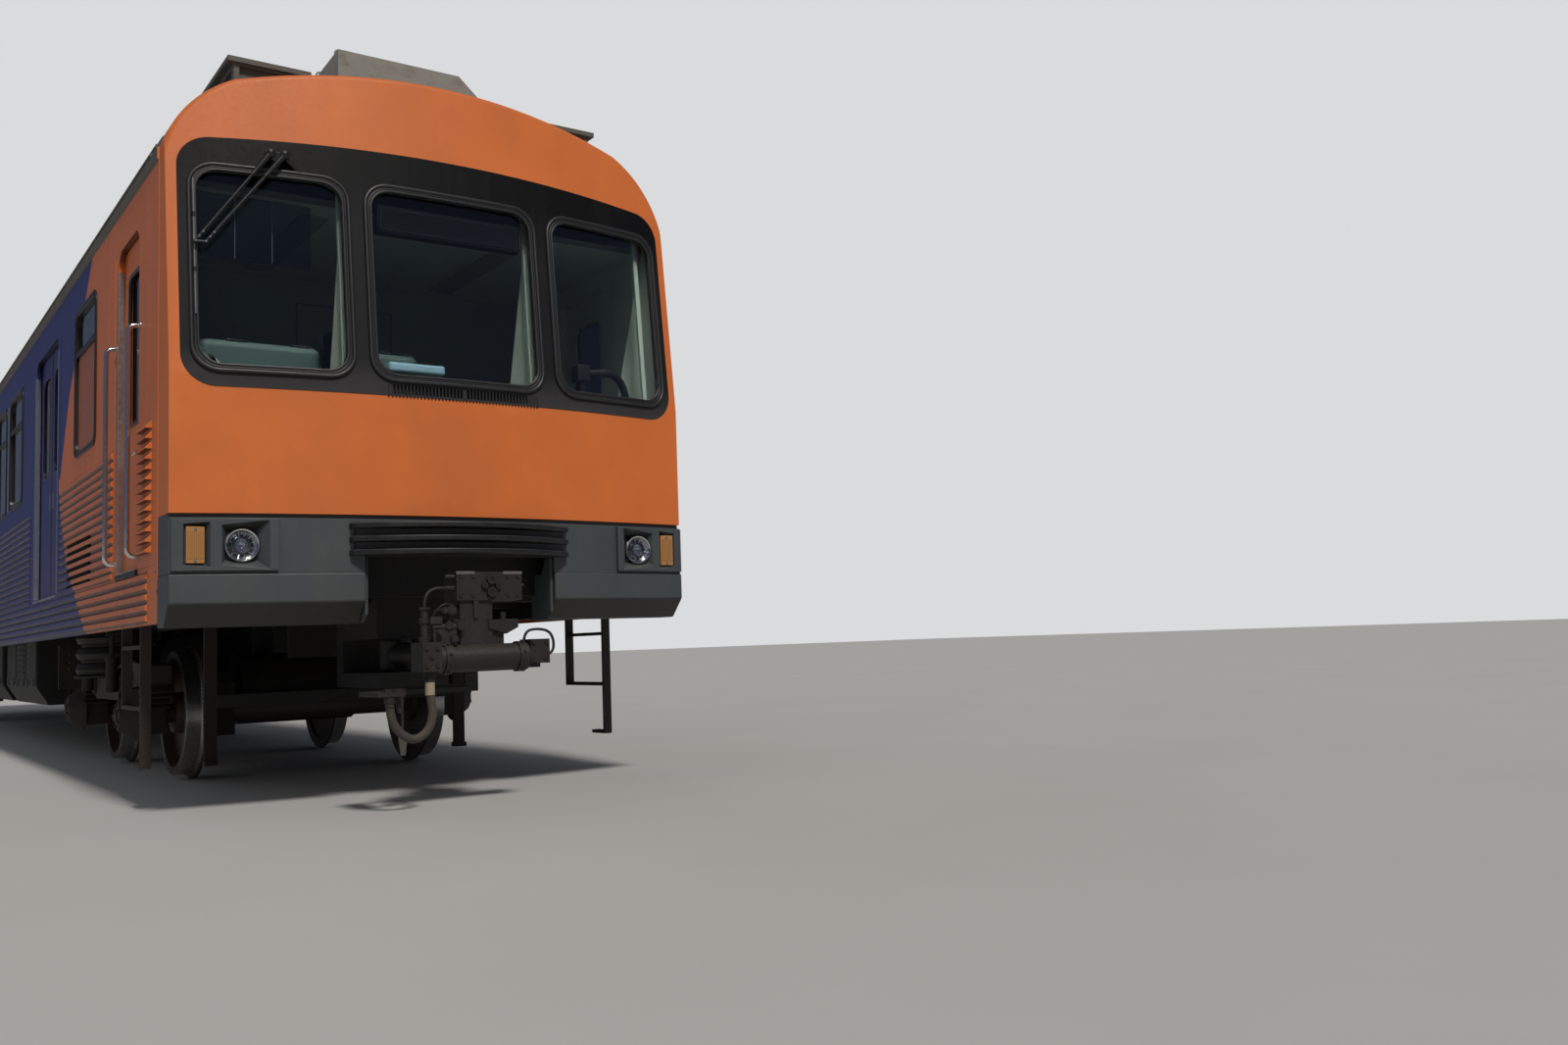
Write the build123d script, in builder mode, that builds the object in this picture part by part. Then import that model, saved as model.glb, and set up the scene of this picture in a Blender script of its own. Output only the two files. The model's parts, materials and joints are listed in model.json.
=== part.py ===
from build123d import *
import math
import os

os.makedirs("parts", exist_ok=True)

# The motor car of a metro train, in millimetres. X is to the right when facing the front,
# Y runs back along the car, Z is up. The origin is under the middle of the car, at the
# lowest point of the wheel flanges. The front is at the low end of Y.

# Track and wheels
flange_depth = 28
rail_top = flange_depth
wheel_radius = 430
wheel_width = 135
flange_width = 32
wheel_back = 763
axle_radius = 85
journal_radius = 65
running_gap = 0.6

# Body length, with the rows of doorways
half_length = 10950
coupler_reach = 620
door_pitch = 4910
first_door = 4380
door_count = 4
door_half = 595
door_corner = 110
corner_thickness = 20

# Body section
half_width = 1500
flute_height = 12
skin_thickness = 34
pocket_width = 43
lining_thickness = 31
skirt_foot = rail_top + 980
floor_top = rail_top + 1290
floor_thickness = 100
wall_top = rail_top + 3212
eaves = rail_top + 3505
crown = rail_top + 4070
shoulder_x = 1150
shoulder_z = rail_top + 3905
roof_thickness = 50
ceiling_foot = rail_top + 3340
seam = 0.3
clearance = 6

# Front mask, its black band and its three panes
mask_depth = 250
nose_sagitta = 170
mask_foot = rail_top + 1530
rake_start = rail_top + 2250
rake_slope = 0.105
mask_wall = 62
band_half = 1445
band_foot = rail_top + 2185
band_top = rail_top + 3530
band_crown = 65
band_corner = 170
glass_foot = rail_top + 2266
glass_top = rail_top + 3394
glass_corner = 130
middle_glass_half = 509
outer_glass = (596, 1394)
seal_width = 34
pane_thickness = 10
pane_inset = 14
mask_rounding = 38
grille_half = 400
grille_foot = rail_top + 2196
grille_height = 52
grille_pitch = 20
grille_slot = 11
grille_depth = 22

# Lower front
valance_foot = rail_top + 1222
lamp_box = (990, 1490, rail_top + 1234, rail_top + 1500)
headlamp_x = 1159
headlamp_radius = 85
headlamp_floor = (140, 30)
headlamp_taper = 34
marker_x = 1378
marker_width = 88
marker_height = 186
marker_floor = 15
marker_margin = 3
marker_taper = 21
lamp_z = rail_top + 1367
bumper_inner = 552
cheek_thickness = 20
bumper_crease = rail_top + 1070
bumper_foot = rail_top + 955
rib_half = 632
rib_foot = rail_top + 1310
rib_pitch = 72
rib_thickness = 30
reveal = (25, 22)

# Cab doors and cab windows
cab_door_front = 760
cab_door_back = 1380
cab_door_thickness = 35
cab_door_inner = 1430
cab_hinge = (1442, 1352)
pivot_radius = 10

# Side windows
window_foot = rail_top + 2180
window_top = rail_top + 3190
window_width = 900
window_corner = 90
window_spread = 575
cab_window_centre = 2552
cab_window_width = 835
end_window_centre = 21100
hopper_drop = 300

# Flutes on the sides
flute_pitch = 56
flute_foot = rail_top + 1345
flute_count = 13
skirt_flute_foot = rail_top + 1016
skirt_flute_count = 5

# Sliding leaves
leaf_thickness = 31
leaf_lap = 15
leaf_gap = 5
leaf_travel = 575
hanger_height = 30
hanger_width = 20
leaf_window = (350, 800, 85)

# End wall and its door, partition and its door
end_wall_thickness = 60
end_door_half = 380
end_door_top = rail_top + 3170
partition_y = 1880
partition_thickness = 40
partition_door_x = (-330, 330)

# Bogies
bogie_place = 3950
wheelbase = 2200
frame_x = 1050
frame_width = 160
spring_radius = 250
bolster_foot = rail_top + 1060
pivot_pin_radius = 80

# Roof equipment
duct_outer = 1100
duct_foot = rail_top + 3870
duct_top = rail_top + 4125
lid_thickness = 30
slot_pitch = 710
slot_length = 630
slot_height = 95
box_half = 830
box_span = (4300, 17600)
box_top = rail_top + 4420

# Pantograph, folded down
pan_pivot_y = 3100
pan_pivot_z = rail_top + 4400
lower_arm = 1550
upper_arm = 2320
lower_rise = 1.5
upper_rise = 2.0
head_half = 900
heel = 110
rod_mount = (-252, -50)
arm_radius = 45
rod_drift = 6

# Coupler and drawbar
coupler_z = rail_top + 775
coupler_pivot = 950
shank_radius = 75
eye_radius = 95
coupler_pin_radius = 35

wall_thickness = skin_thickness + pocket_width + lining_thickness
skin_inner = half_width - skin_thickness
lining_outer = skin_inner - pocket_width
wall_inner = half_width - wall_thickness
leaf_middle = (skin_inner + lining_outer) / 2
pocket_depth = leaf_lap + leaf_travel + 2 * clearance
window_middle = (window_foot + window_top) / 2
window_height = window_top - window_foot
nose_radius = (half_width ** 2 + nose_sagitta ** 2) / (2 * nose_sagitta)


def lengthways(y):
    """The place in Y of a distance behind the mask's foot."""
    return y - half_length


nose_tip = lengthways(-nose_sagitta)
nose_axis_y = nose_tip + nose_radius
body_front = lengthways(mask_depth)
body_back = half_length
door_centres = [lengthways(first_door + i * door_pitch) for i in range(door_count)]


def block(x, y, z, mode=Mode.ADD):
    """A box between the two places given on each axis."""
    with Locations(((x[0] + x[1]) / 2, (y[0] + y[1]) / 2, (z[0] + z[1]) / 2)):
        return Box(x[1] - x[0], y[1] - y[0], z[1] - z[0], mode=mode)


def facing(y):
    """The upright plane across the car at a place in Y, looking to the front."""
    return Plane.XZ.offset(-y)


def bar(start, end, radius):
    """A round bar from one point to another."""
    first, last = Vector(*start), Vector(*end)
    with BuildPart() as piece:
        with BuildSketch(Plane(origin=first, z_dir=last - first)):
            Circle(radius)
        extrude(amount=(last - first).length)
    return piece.part


def write(piece, name):
    """Label a finished piece and write it."""
    piece.part.label = name
    export_step(piece.part, f"parts/{name}.step")


# Bays of the side wall between doorways: start, end, pocket at start, pocket at end,
# window centres, window width, flutes' margin at start and at end
bays = [(lengthways(cab_door_back), door_centres[0] - door_half, False, True,
         [lengthways(cab_window_centre)], cab_window_width, 140, 190)]
for i in range(door_count - 1):
    middle = (door_centres[i] + door_centres[i + 1]) / 2
    bays.append((door_centres[i] + door_half, door_centres[i + 1] - door_half, True, True,
                 [middle - window_spread, middle + window_spread], window_width, 250, 250))
bays.append((door_centres[-1] + door_half, body_back - end_wall_thickness, True, False,
             [lengthways(end_window_centre)], window_width, 250, 250))
side_windows = [(centre, bay[5]) for bay in bays for centre in bay[4]]
# Upper corners of the doorways: place in Y, and the way to the doorway's middle
doorway_corners = [(centre - turn * door_half, turn) for centre in door_centres for turn in (1, -1)]
doorway_corners += [(lengthways(cab_door_front), 1), (lengthways(cab_door_back), -1)]


def flute_bank(start, end, foot, count):
    """Level ribs pressed in the skin, one above another, on the right side."""
    rib_half_foot = flute_pitch * 0.40
    rib_half_crest = flute_pitch * 0.22
    with BuildPart() as bank:
        with BuildSketch(facing(end)):
            for i in range(count):
                z = foot + i * flute_pitch
                with BuildLine():
                    Polyline((half_width - 1, z - rib_half_foot), (half_width, z - rib_half_foot),
                             (half_width + flute_height, z - rib_half_crest),
                             (half_width + flute_height, z + rib_half_crest),
                             (half_width, z + rib_half_foot), (half_width - 1, z + rib_half_foot),
                             close=True)
                make_face()
        extrude(amount=end - start)
    return bank.part


# Side walls: a solid for each bay between doorways, with pockets that the leaves slide into
louvre_span = (400, 660)
louvre_depth = 32
louvre_pitch = 55
louvre_foot = rail_top + 1360
louvre_count = 13
with BuildPart() as louvre_bank:
    with BuildSketch(facing(lengthways(louvre_span[1]))):
        for i in range(louvre_count):
            z = louvre_foot + i * louvre_pitch
            with BuildLine():
                Polyline((half_width - 1, z), (half_width, z), (half_width + louvre_depth, z),
                         (half_width + louvre_depth, z + 8), (half_width, z + louvre_pitch * 0.75),
                         (half_width - 1, z + louvre_pitch * 0.75), close=True)
            make_face()
    extrude(amount=louvre_span[1] - louvre_span[0])

with BuildPart() as side_walls:
    block((wall_inner, half_width), (body_front, lengthways(cab_door_front)), (floor_top, wall_top))
    add(louvre_bank.part)
    for start, end, pocket_start, pocket_end, windows, width, near, far in bays:
        block((wall_inner, half_width), (start, end), (floor_top, wall_top))
        if pocket_start:
            block((lining_outer, skin_inner), (start, start + pocket_depth), (floor_top, wall_top),
                  mode=Mode.SUBTRACT)
        if pocket_end:
            block((lining_outer, skin_inner), (end - pocket_depth, end), (floor_top, wall_top),
                  mode=Mode.SUBTRACT)
        for centre in windows:
            with BuildSketch(Plane.YZ.offset(wall_inner)):
                with Locations((centre, window_middle)):
                    RectangleRounded(width, window_height, window_corner)
            extrude(amount=wall_thickness, mode=Mode.SUBTRACT)
        add(flute_bank(start + near, end - far, flute_foot, flute_count))
    for corner, turn in doorway_corners:
        reach = door_corner * (1 - math.sqrt(0.5))
        with BuildSketch(Plane.YZ.offset(half_width - corner_thickness)):
            with BuildLine():
                Line((corner, wall_top), (corner + turn * door_corner, wall_top))
                ThreePointArc((corner + turn * door_corner, wall_top), (corner + turn * reach, wall_top - reach),
                              (corner, wall_top - door_corner))
                Line((corner, wall_top - door_corner), (corner, wall_top))
            make_face()
        extrude(amount=corner_thickness)
    mirror(about=Plane.YZ)
write(side_walls, "side_walls")

# Fluted skirts below the walls, plain at their front end
skirt_plain = 250
with BuildPart() as skirts:
    block((skin_inner, half_width), (body_front, body_back), (skirt_foot, floor_top))
    add(flute_bank(body_front + skirt_plain, body_back - skirt_plain, skirt_flute_foot, skirt_flute_count))
    mirror(about=Plane.YZ)
write(skirts, "skirts")

# Cantrails: the strip over the doorways with the leaves' runner groove, and the rain gutter
gutter_foot = rail_top + 3430
gutter_lip = 10
with BuildPart() as cantrails:
    with BuildSketch(facing(body_back)):
        with BuildLine():
            Polyline((wall_inner, wall_top), (half_width, wall_top), (half_width, gutter_foot),
                     (half_width + gutter_lip, gutter_foot + gutter_lip),
                     (half_width + gutter_lip, eaves - gutter_lip), (half_width, eaves),
                     (wall_inner, eaves), close=True)
        make_face()
    extrude(amount=body_back - body_front)
    block((leaf_middle - hanger_width / 2, leaf_middle + hanger_width / 2),
          (door_centres[0] - door_half - pocket_depth, door_centres[-1] + door_half + pocket_depth),
          (wall_top, wall_top + hanger_height + clearance), mode=Mode.SUBTRACT)
    with Locations((cab_hinge[0], lengthways(cab_hinge[1]), wall_top + 12)):
        Cylinder(pivot_radius + running_gap, 24, mode=Mode.SUBTRACT)
    mirror(about=Plane.YZ)
write(cantrails, "cantrails")


def roof_outline(inset):
    """The roof's section from eaves to eaves, moved in by an inset."""
    with BuildSketch(Plane.XZ, mode=Mode.PRIVATE) as outline:
        with BuildLine():
            right = half_width - 3 - inset
            mid_x = 1375 - inset * 0.8
            mid_z = rail_top + 3730 - inset * 0.6
            edge_x = shoulder_x - inset * 0.3
            edge_z = shoulder_z - inset * 0.95
            Line((0, eaves), (right, eaves))
            ThreePointArc((right, eaves), (mid_x, mid_z), (edge_x, edge_z))
            rise = crown - inset - edge_z
            radius = (edge_x ** 2 + rise ** 2) / (2 * rise)
            half = edge_x / 2
            ThreePointArc((edge_x, edge_z), (half, crown - inset - radius + math.sqrt(radius ** 2 - half ** 2)),
                          (0, crown - inset))
            Line((0, crown - inset), (0, eaves))
        make_face()
        mirror(about=Plane.YZ)
    return outline.sketch


# Roof shell with fine ribs along each shoulder, smooth just behind the mask
shoulder_rib_count = 9
shoulder_rib_height = 14
shoulder_rib_width = 22
roof_ring = 250
with BuildPart() as roof:
    with BuildSketch(facing(body_back)):
        add(roof_outline(0))
        add(roof_outline(roof_thickness), mode=Mode.SUBTRACT)
    extrude(amount=body_back - body_front)
    with BuildSketch(facing(body_back)):
        for i in range(shoulder_rib_count):
            t = (i + 0.6) / (shoulder_rib_count + 0.2)
            angle = math.radians(12 + 50 * t)
            x = half_width - 3 - (half_width - 3 - shoulder_x) * t ** 1.25
            z = eaves + (shoulder_z - eaves) * (1 - (1 - t) ** 1.28)
            with Locations(Location((x, z), math.degrees(angle))):
                Rectangle(2 * shoulder_rib_height, shoulder_rib_width)
        mirror(about=Plane.YZ)
    extrude(amount=body_back - body_front - roof_ring)
write(roof, "roof")

# Ceiling of cab and saloon, with two rows of lamp covers
lamp_row_x = 620
lamp_row_width = 160
with BuildPart() as ceiling:
    for front, back in ((body_front + 60, lengthways(partition_y) - seam),
                        (lengthways(partition_y + partition_thickness) + seam, body_back - end_wall_thickness - seam)):
        block((-wall_inner + seam, wall_inner - seam), (front, back), (ceiling_foot, ceiling_foot + 40))
        for x in (-lamp_row_x, lamp_row_x):
            block((x - lamp_row_width / 2, x + lamp_row_width / 2), (front + 150, back - 150),
                  (ceiling_foot - 25, ceiling_foot))
write(ceiling, "ceiling")

# Underframe: floor plate, solebars, cross bearers and bolsters in one, and a coupler box at each end
bearer_pitch = 1220
bearer_foot = rail_top + 1090
solebar_foot = rail_top + 1000
bogie_centres = [lengthways(bogie_place), -lengthways(bogie_place)]
coupler_box = (650, 1400)
mouth = 120
with BuildPart() as underframe:
    floor_foot = floor_top - floor_thickness
    block((-skin_inner + seam, skin_inner - seam), (body_front, body_back), (floor_foot, floor_top))
    for x in (-1380, 1300):
        block((x, x + 80), (body_front, body_back), (solebar_foot, floor_foot))
    for i in range(17):
        y = lengthways(800 + i * bearer_pitch)
        block((-1300, 1300), (y - 40, y + 40), (bearer_foot, floor_foot))
    for y in bogie_centres:
        block((-1300, 1300), (y - 260, y + 260), (bolster_foot, floor_foot))
        with Locations((0, y, bolster_foot - 130)):
            Cylinder(pivot_pin_radius, 260)
    for way in (1, -1):
        near = way * lengthways(coupler_box[0])
        far = way * lengthways(coupler_box[1])
        wall = way * lengthways(coupler_box[1] - mouth)
        pin = way * lengthways(coupler_pivot)
        low, high = coupler_z - 130, floor_foot
        block((-220, 220), sorted((near, far)), (low - 60, high))
        block((-220, 220), sorted((near, wall)), (low + 30, coupler_z + 100), mode=Mode.SUBTRACT)
        with Locations((0, pin, coupler_z - 15)):
            Cylinder(coupler_pin_radius, 260)
    for x in (-cab_hinge[0], cab_hinge[0]):
        with Locations((x, lengthways(cab_hinge[1]), floor_top - 10)):
            Cylinder(pivot_radius + running_gap, 24, mode=Mode.SUBTRACT)
write(underframe, "underframe")


def nose(inset, foot, top):
    """What lies behind the front's curved, raked face, moved back by an inset."""
    front = nose_tip + inset
    with BuildPart() as solid:
        with BuildSketch(Plane.YZ):
            with BuildLine():
                Polyline((nose_axis_y, foot), (front, foot), (front, rake_start),
                         (front + rake_slope * (top - rake_start), top), (nose_axis_y, top), close=True)
            make_face()
        revolve(axis=Axis((0, nose_axis_y, 0), (0, 0, 1)))
    return solid.part


def front_outline(inset, foot):
    """The front's outline: upright sides below the roof's section."""
    with BuildSketch(Plane.XZ, mode=Mode.PRIVATE) as outline:
        add(roof_outline(inset))
        with Locations((0, (foot + eaves) / 2)):
            Rectangle(2 * (half_width - 3 - inset), eaves - foot)
    return outline.sketch


top_of_nose = crown + 100
face_solid = nose(0, 0, top_of_nose)
inner_face = nose(mask_wall, 0, top_of_nose)


def band_outline(grow):
    """The black band round the three panes, with its top edge slightly arched."""
    with BuildSketch(Plane.XZ, mode=Mode.PRIVATE) as outline:
        with BuildLine():
            side = band_half + grow
            ThreePointArc((-side, band_top + grow), (0, band_top + band_crown + grow), (side, band_top + grow))
            Polyline((side, band_top + grow), (side, band_foot - grow), (-side, band_foot - grow),
                     (-side, band_top + grow))
        make_face()
        fillet(outline.vertices(), band_corner)
    return outline.sketch


def glass_outlines(inset):
    """The three openings for glass, each moved in by an inset."""
    with BuildSketch(Plane.XZ, mode=Mode.PRIVATE) as outline:
        height = glass_top - glass_foot - 2 * inset
        middle = (glass_top + glass_foot) / 2
        outer_width = outer_glass[1] - outer_glass[0] - 2 * inset
        outer_centre = (outer_glass[0] + outer_glass[1]) / 2
        with Locations((0, middle)):
            RectangleRounded(2 * (middle_glass_half - inset), height, glass_corner - inset / 2)
        with Locations((-outer_centre, middle), (outer_centre, middle)):
            RectangleRounded(outer_width, height, glass_corner - inset / 2)
    return outline.sketch


# Front mask: one moulded shell, open behind, with the band's opening
front_reach = mask_depth + nose_sagitta + 100
with BuildPart() as front_mask:
    with BuildSketch(facing(body_front)):
        add(front_outline(0, mask_foot))
    extrude(amount=front_reach)
    add(face_solid, mode=Mode.INTERSECT)
    rim = front_mask.edges().filter_by(lambda edge: edge.center().Z > eaves and edge.center().Y < body_front - 5)
    fillet(rim.filter_by(lambda edge: edge.geom_type != GeomType.LINE), mask_rounding)
    with BuildPart(mode=Mode.PRIVATE) as cavity:
        with BuildSketch(facing(body_front + 1)):
            add(front_outline(mask_wall, mask_foot - 100))
        extrude(amount=front_reach)
        add(inner_face, mode=Mode.INTERSECT)
    add(cavity.part, mode=Mode.SUBTRACT)
    with BuildSketch(facing(body_front - 20)):
        add(band_outline(seam))
    extrude(amount=front_reach, mode=Mode.SUBTRACT)
write(front_mask, "front_mask")

# Black band, with the glass openings cut
band_proud = 3
with BuildPart() as window_band:
    with BuildSketch(facing(body_front - 20)):
        add(band_outline(0))
        add(glass_outlines(0), mode=Mode.SUBTRACT)
    extrude(amount=front_reach)
    add(nose(-band_proud, 0, top_of_nose), mode=Mode.INTERSECT)
    add(inner_face, mode=Mode.SUBTRACT)
    slot_count = int(2 * grille_half / grille_pitch)
    with Locations([((i - (slot_count - 1) / 2) * grille_pitch, nose_tip + grille_depth - 50,
                     grille_foot + grille_height / 2) for i in range(slot_count) if i != slot_count // 2]):
        Box(grille_slot, 100, grille_height, mode=Mode.SUBTRACT)
write(window_band, "window_band")

# Rubber seals: three round the front panes, the others round the side windows, with their bars
seal_proud = 4
seal_depth = 40
with BuildPart() as window_seals:
    with BuildSketch(facing(body_front - 20)):
        add(glass_outlines(seam))
        add(glass_outlines(seal_width), mode=Mode.SUBTRACT)
    extrude(amount=front_reach)
    add(nose(-12, 0, top_of_nose), mode=Mode.INTERSECT)
    add(nose(30, 0, top_of_nose), mode=Mode.SUBTRACT)
    with BuildPart(mode=Mode.PRIVATE) as side_seals:
        for centre, width in side_windows:
            with BuildSketch(Plane.YZ.offset(half_width - seal_depth)):
                with Locations((centre, window_middle)):
                    RectangleRounded(width - 2 * seam, window_height - 2 * seam, window_corner - seam)
                    RectangleRounded(width - 2 * seal_width, window_height - 2 * seal_width,
                                     window_corner - seal_width / 2, mode=Mode.SUBTRACT)
            extrude(amount=seal_depth + seal_proud)
            bar_z = window_top - hopper_drop
            block((half_width - pane_inset + seam, half_width + seal_proud),
                  (centre - width / 2 + seal_width - 1, centre + width / 2 - seal_width + 1),
                  (bar_z - seal_width / 2, bar_z + seal_width / 2))
        mirror(about=Plane.YZ)
    add(side_seals.part)
write(window_seals, "window_seals")

# Panes of the front and of the side windows
with BuildPart() as windows:
    with BuildSketch(facing(body_front - 20)):
        add(glass_outlines(seal_width + seam))
    extrude(amount=front_reach)
    add(nose(pane_inset, 0, top_of_nose), mode=Mode.INTERSECT)
    add(nose(pane_inset + pane_thickness, 0, top_of_nose), mode=Mode.SUBTRACT)
    with BuildPart(mode=Mode.PRIVATE) as side_panes:
        for centre, width in side_windows:
            with BuildSketch(Plane.YZ.offset(half_width - pane_inset - pane_thickness)):
                with Locations((centre, window_middle)):
                    RectangleRounded(width - 2 * seal_width - 2 * seam, window_height - 2 * seal_width - 2 * seam,
                                     window_corner - seal_width / 2)
            extrude(amount=pane_thickness)
        mirror(about=Plane.YZ)
    add(side_panes.part)
write(windows, "windows")

# Lower front: a curved valance with a square lamp housing at each corner. Each housing has a
# pyramid-shaped recess round its headlamp and a bevelled one round its marker
lamp_proud = 24
box_x0, box_x1, box_z0, box_z1 = lamp_box
headlamp_back = lengthways(-headlamp_floor[1])
marker_back = lengthways(-marker_floor)
recess_reach = 130


def lamp_plane(y):
    """The upright plane across the car at a place in Y, with the lamps' level at its middle."""
    return Plane(origin=(0, y, lamp_z), x_dir=(1, 0, 0), z_dir=(0, -1, 0))


with BuildPart() as front_valance:
    block((-half_width + 3, half_width - 3), (body_front - front_reach, body_front), (valance_foot, mask_foot))
    add(nose(0, 0, top_of_nose), mode=Mode.INTERSECT)
    with BuildPart(mode=Mode.PRIVATE) as housings:
        for way in (1, -1):
            block(sorted((way * box_x0, way * box_x1)), (body_front - front_reach, body_front), (box_z0, box_z1))
        add(nose(-lamp_proud, 0, top_of_nose), mode=Mode.INTERSECT)
    add(housings.part)
    with BuildPart(mode=Mode.PRIVATE) as behind:
        block((-half_width + 3 + mask_wall, half_width - 3 - mask_wall),
              (body_front - front_reach, body_front + 1), (valance_foot - 1, mask_foot + 1))
        add(inner_face, mode=Mode.INTERSECT)
    add(behind.part, mode=Mode.SUBTRACT)
    with BuildPart(mode=Mode.PRIVATE) as shadow_gap:
        block((-half_width, half_width), (body_front - front_reach, body_front),
              (mask_foot - reveal[1], mask_foot + 1))
        add(nose(reveal[0], 0, top_of_nose), mode=Mode.SUBTRACT)
    add(shadow_gap.part, mode=Mode.SUBTRACT)
    with BuildSketch(lamp_plane(headlamp_back)):
        with Locations((-headlamp_x, 0), (headlamp_x, 0)):
            Rectangle(headlamp_floor[0], headlamp_floor[0])
    extrude(amount=recess_reach, taper=-headlamp_taper, mode=Mode.SUBTRACT)
    with BuildSketch(lamp_plane(headlamp_back)):
        with Locations((-headlamp_x, 0), (headlamp_x, 0)):
            Circle(headlamp_radius + seam)
    extrude(amount=recess_reach, mode=Mode.SUBTRACT)
    with BuildSketch(lamp_plane(marker_back)):
        with Locations((-marker_x, 0), (marker_x, 0)):
            Rectangle(marker_width + 2 * marker_margin, marker_height + 2 * marker_margin)
    extrude(amount=recess_reach, taper=-marker_taper, mode=Mode.SUBTRACT)
    block((-bumper_inner + seam, bumper_inner - seam), (body_front - front_reach, body_front + 1),
          (valance_foot - 1, rib_foot - seam), mode=Mode.SUBTRACT)
write(front_valance, "front_valance")

# Lamps, seated on the floors of their recesses: a bowl with a bulb in the middle, and an upright lens
bowl_depth = 32
bowl_rim = 5
bulb_radius = 36
marker_depth = 25
with BuildPart() as front_lamps:
    for way in (1, -1):
        bowl_y = headlamp_back - seam
        with BuildSketch(Plane(origin=(way * headlamp_x, bowl_y, lamp_z), x_dir=(1, 0, 0), z_dir=(0, 0, 1))):
            with BuildLine():
                Polyline((0, 0), (headlamp_radius, 0), (headlamp_radius, -bowl_depth),
                         (headlamp_radius - bowl_rim, -bowl_depth), (bulb_radius + 2, -bowl_depth * 0.25),
                         (bulb_radius, -bowl_depth * 0.7), (0, -bowl_depth * 0.7), close=True)
            make_face()
        revolve(axis=Axis((way * headlamp_x, bowl_y, lamp_z), (0, 1, 0)))
        block((way * marker_x - marker_width / 2, way * marker_x + marker_width / 2),
              (marker_back - seam - marker_depth, marker_back - seam),
              (lamp_z - marker_height / 2, lamp_z + marker_height / 2))
write(front_lamps, "front_lamps")

# Bumper blocks either side of the coupler, bevelled below their crease, and an upright cheek by each
bumper_depth = 330
with BuildPart() as bumpers:
    with BuildSketch(Plane.YZ):
        with BuildLine():
            front = nose_tip - 12
            Polyline((front, valance_foot - seam), (front, bumper_crease), (front + 110, bumper_foot),
                     (front + bumper_depth, bumper_foot), (front + bumper_depth, valance_foot - seam), close=True)
        make_face()
    revolve(axis=Axis((0, nose_axis_y, 0), (0, 0, 1)))
    with BuildPart(mode=Mode.PRIVATE) as bounds:
        with BuildSketch(Plane.XY.offset(bumper_foot - 10)):
            for way in (1, -1):
                with BuildLine():
                    Polyline((way * bumper_inner, nose_tip - 50), (way * half_width, nose_tip - 50),
                             (way * half_width, body_front - seam), (way * bumper_inner, body_front - seam),
                             close=True)
                make_face()
        extrude(amount=valance_foot - bumper_foot + 20)
    add(bounds.part, mode=Mode.INTERSECT)
    cheek_front = nose_tip + 35
    for way in (1, -1):
        with BuildSketch(Plane.YZ.offset(way * (bumper_inner - cheek_thickness / 2 - 2 * seam) - cheek_thickness / 2)):
            with BuildLine():
                Polyline((cheek_front, rib_foot - seam), (cheek_front + 70, rib_foot - seam),
                         (cheek_front + 250, bumper_foot + 50), (cheek_front + 220, bumper_foot),
                         (cheek_front + 60, bumper_foot), (cheek_front, bumper_foot + 40), close=True)
            make_face()
        extrude(amount=cheek_thickness)
write(bumpers, "bumpers")

# Anti-climber: three curved ribs on a web, over the coupler
with BuildPart() as anticlimber:
    back_y = lengthways(-60)
    for i in range(3):
        z = rib_foot + i * rib_pitch
        with BuildSketch(Plane.XY.offset(z)):
            with BuildLine():
                ThreePointArc((-rib_half, lengthways(-178)), (0, lengthways(-395)), (rib_half, lengthways(-178)))
                Polyline((rib_half, lengthways(-178)), (rib_half + 15, back_y), (-rib_half - 15, back_y),
                         (-rib_half, lengthways(-178)))
            make_face()
        extrude(amount=rib_thickness)
    with BuildSketch(Plane.XY.offset(rib_foot)):
        with BuildLine():
            ThreePointArc((-rib_half + 25, lengthways(-160)), (0, lengthways(-300)), (rib_half - 25, lengthways(-160)))
            Polyline((rib_half - 25, lengthways(-160)), (rib_half - 10, back_y), (-rib_half + 10, back_y),
                     (-rib_half + 25, lengthways(-160)))
        make_face()
    extrude(amount=2 * rib_pitch + rib_thickness)
    add(nose(-seam, 0, top_of_nose), mode=Mode.SUBTRACT)
write(anticlimber, "anticlimber")

# Windscreen wiper, parked at the side of the outer pane: two arms and an upright blade
with BuildPart() as wiper:
    wiper_top = (-975, lengthways(-12), rail_top + 3470)
    wiper_elbow = (-1375, lengthways(-8), rail_top + 2950)
    with Locations((wiper_top[0], lengthways(35), wiper_top[2])):
        Cylinder(22, 120, rotation=(90, 0, 0))
    add(bar(wiper_top, wiper_elbow, 9))
    add(bar((wiper_top[0] + 45, wiper_top[1], wiper_top[2]), (wiper_elbow[0] + 85, wiper_elbow[1], wiper_elbow[2]), 7))
    with Locations((wiper_top[0] + 20, lengthways(-12), wiper_top[2])):
        Box(80, 30, 30)
    with Locations((wiper_elbow[0] + 40, wiper_elbow[1], wiper_elbow[2])):
        Box(110, 26, 22)
    add(bar((-1380, lengthways(20), rail_top + 3265), (-1385, lengthways(-45), rail_top + 2580), 10))
    add(nose(-band_proud - seam, 0, top_of_nose), mode=Mode.SUBTRACT)
write(wiper, "wiper")

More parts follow.
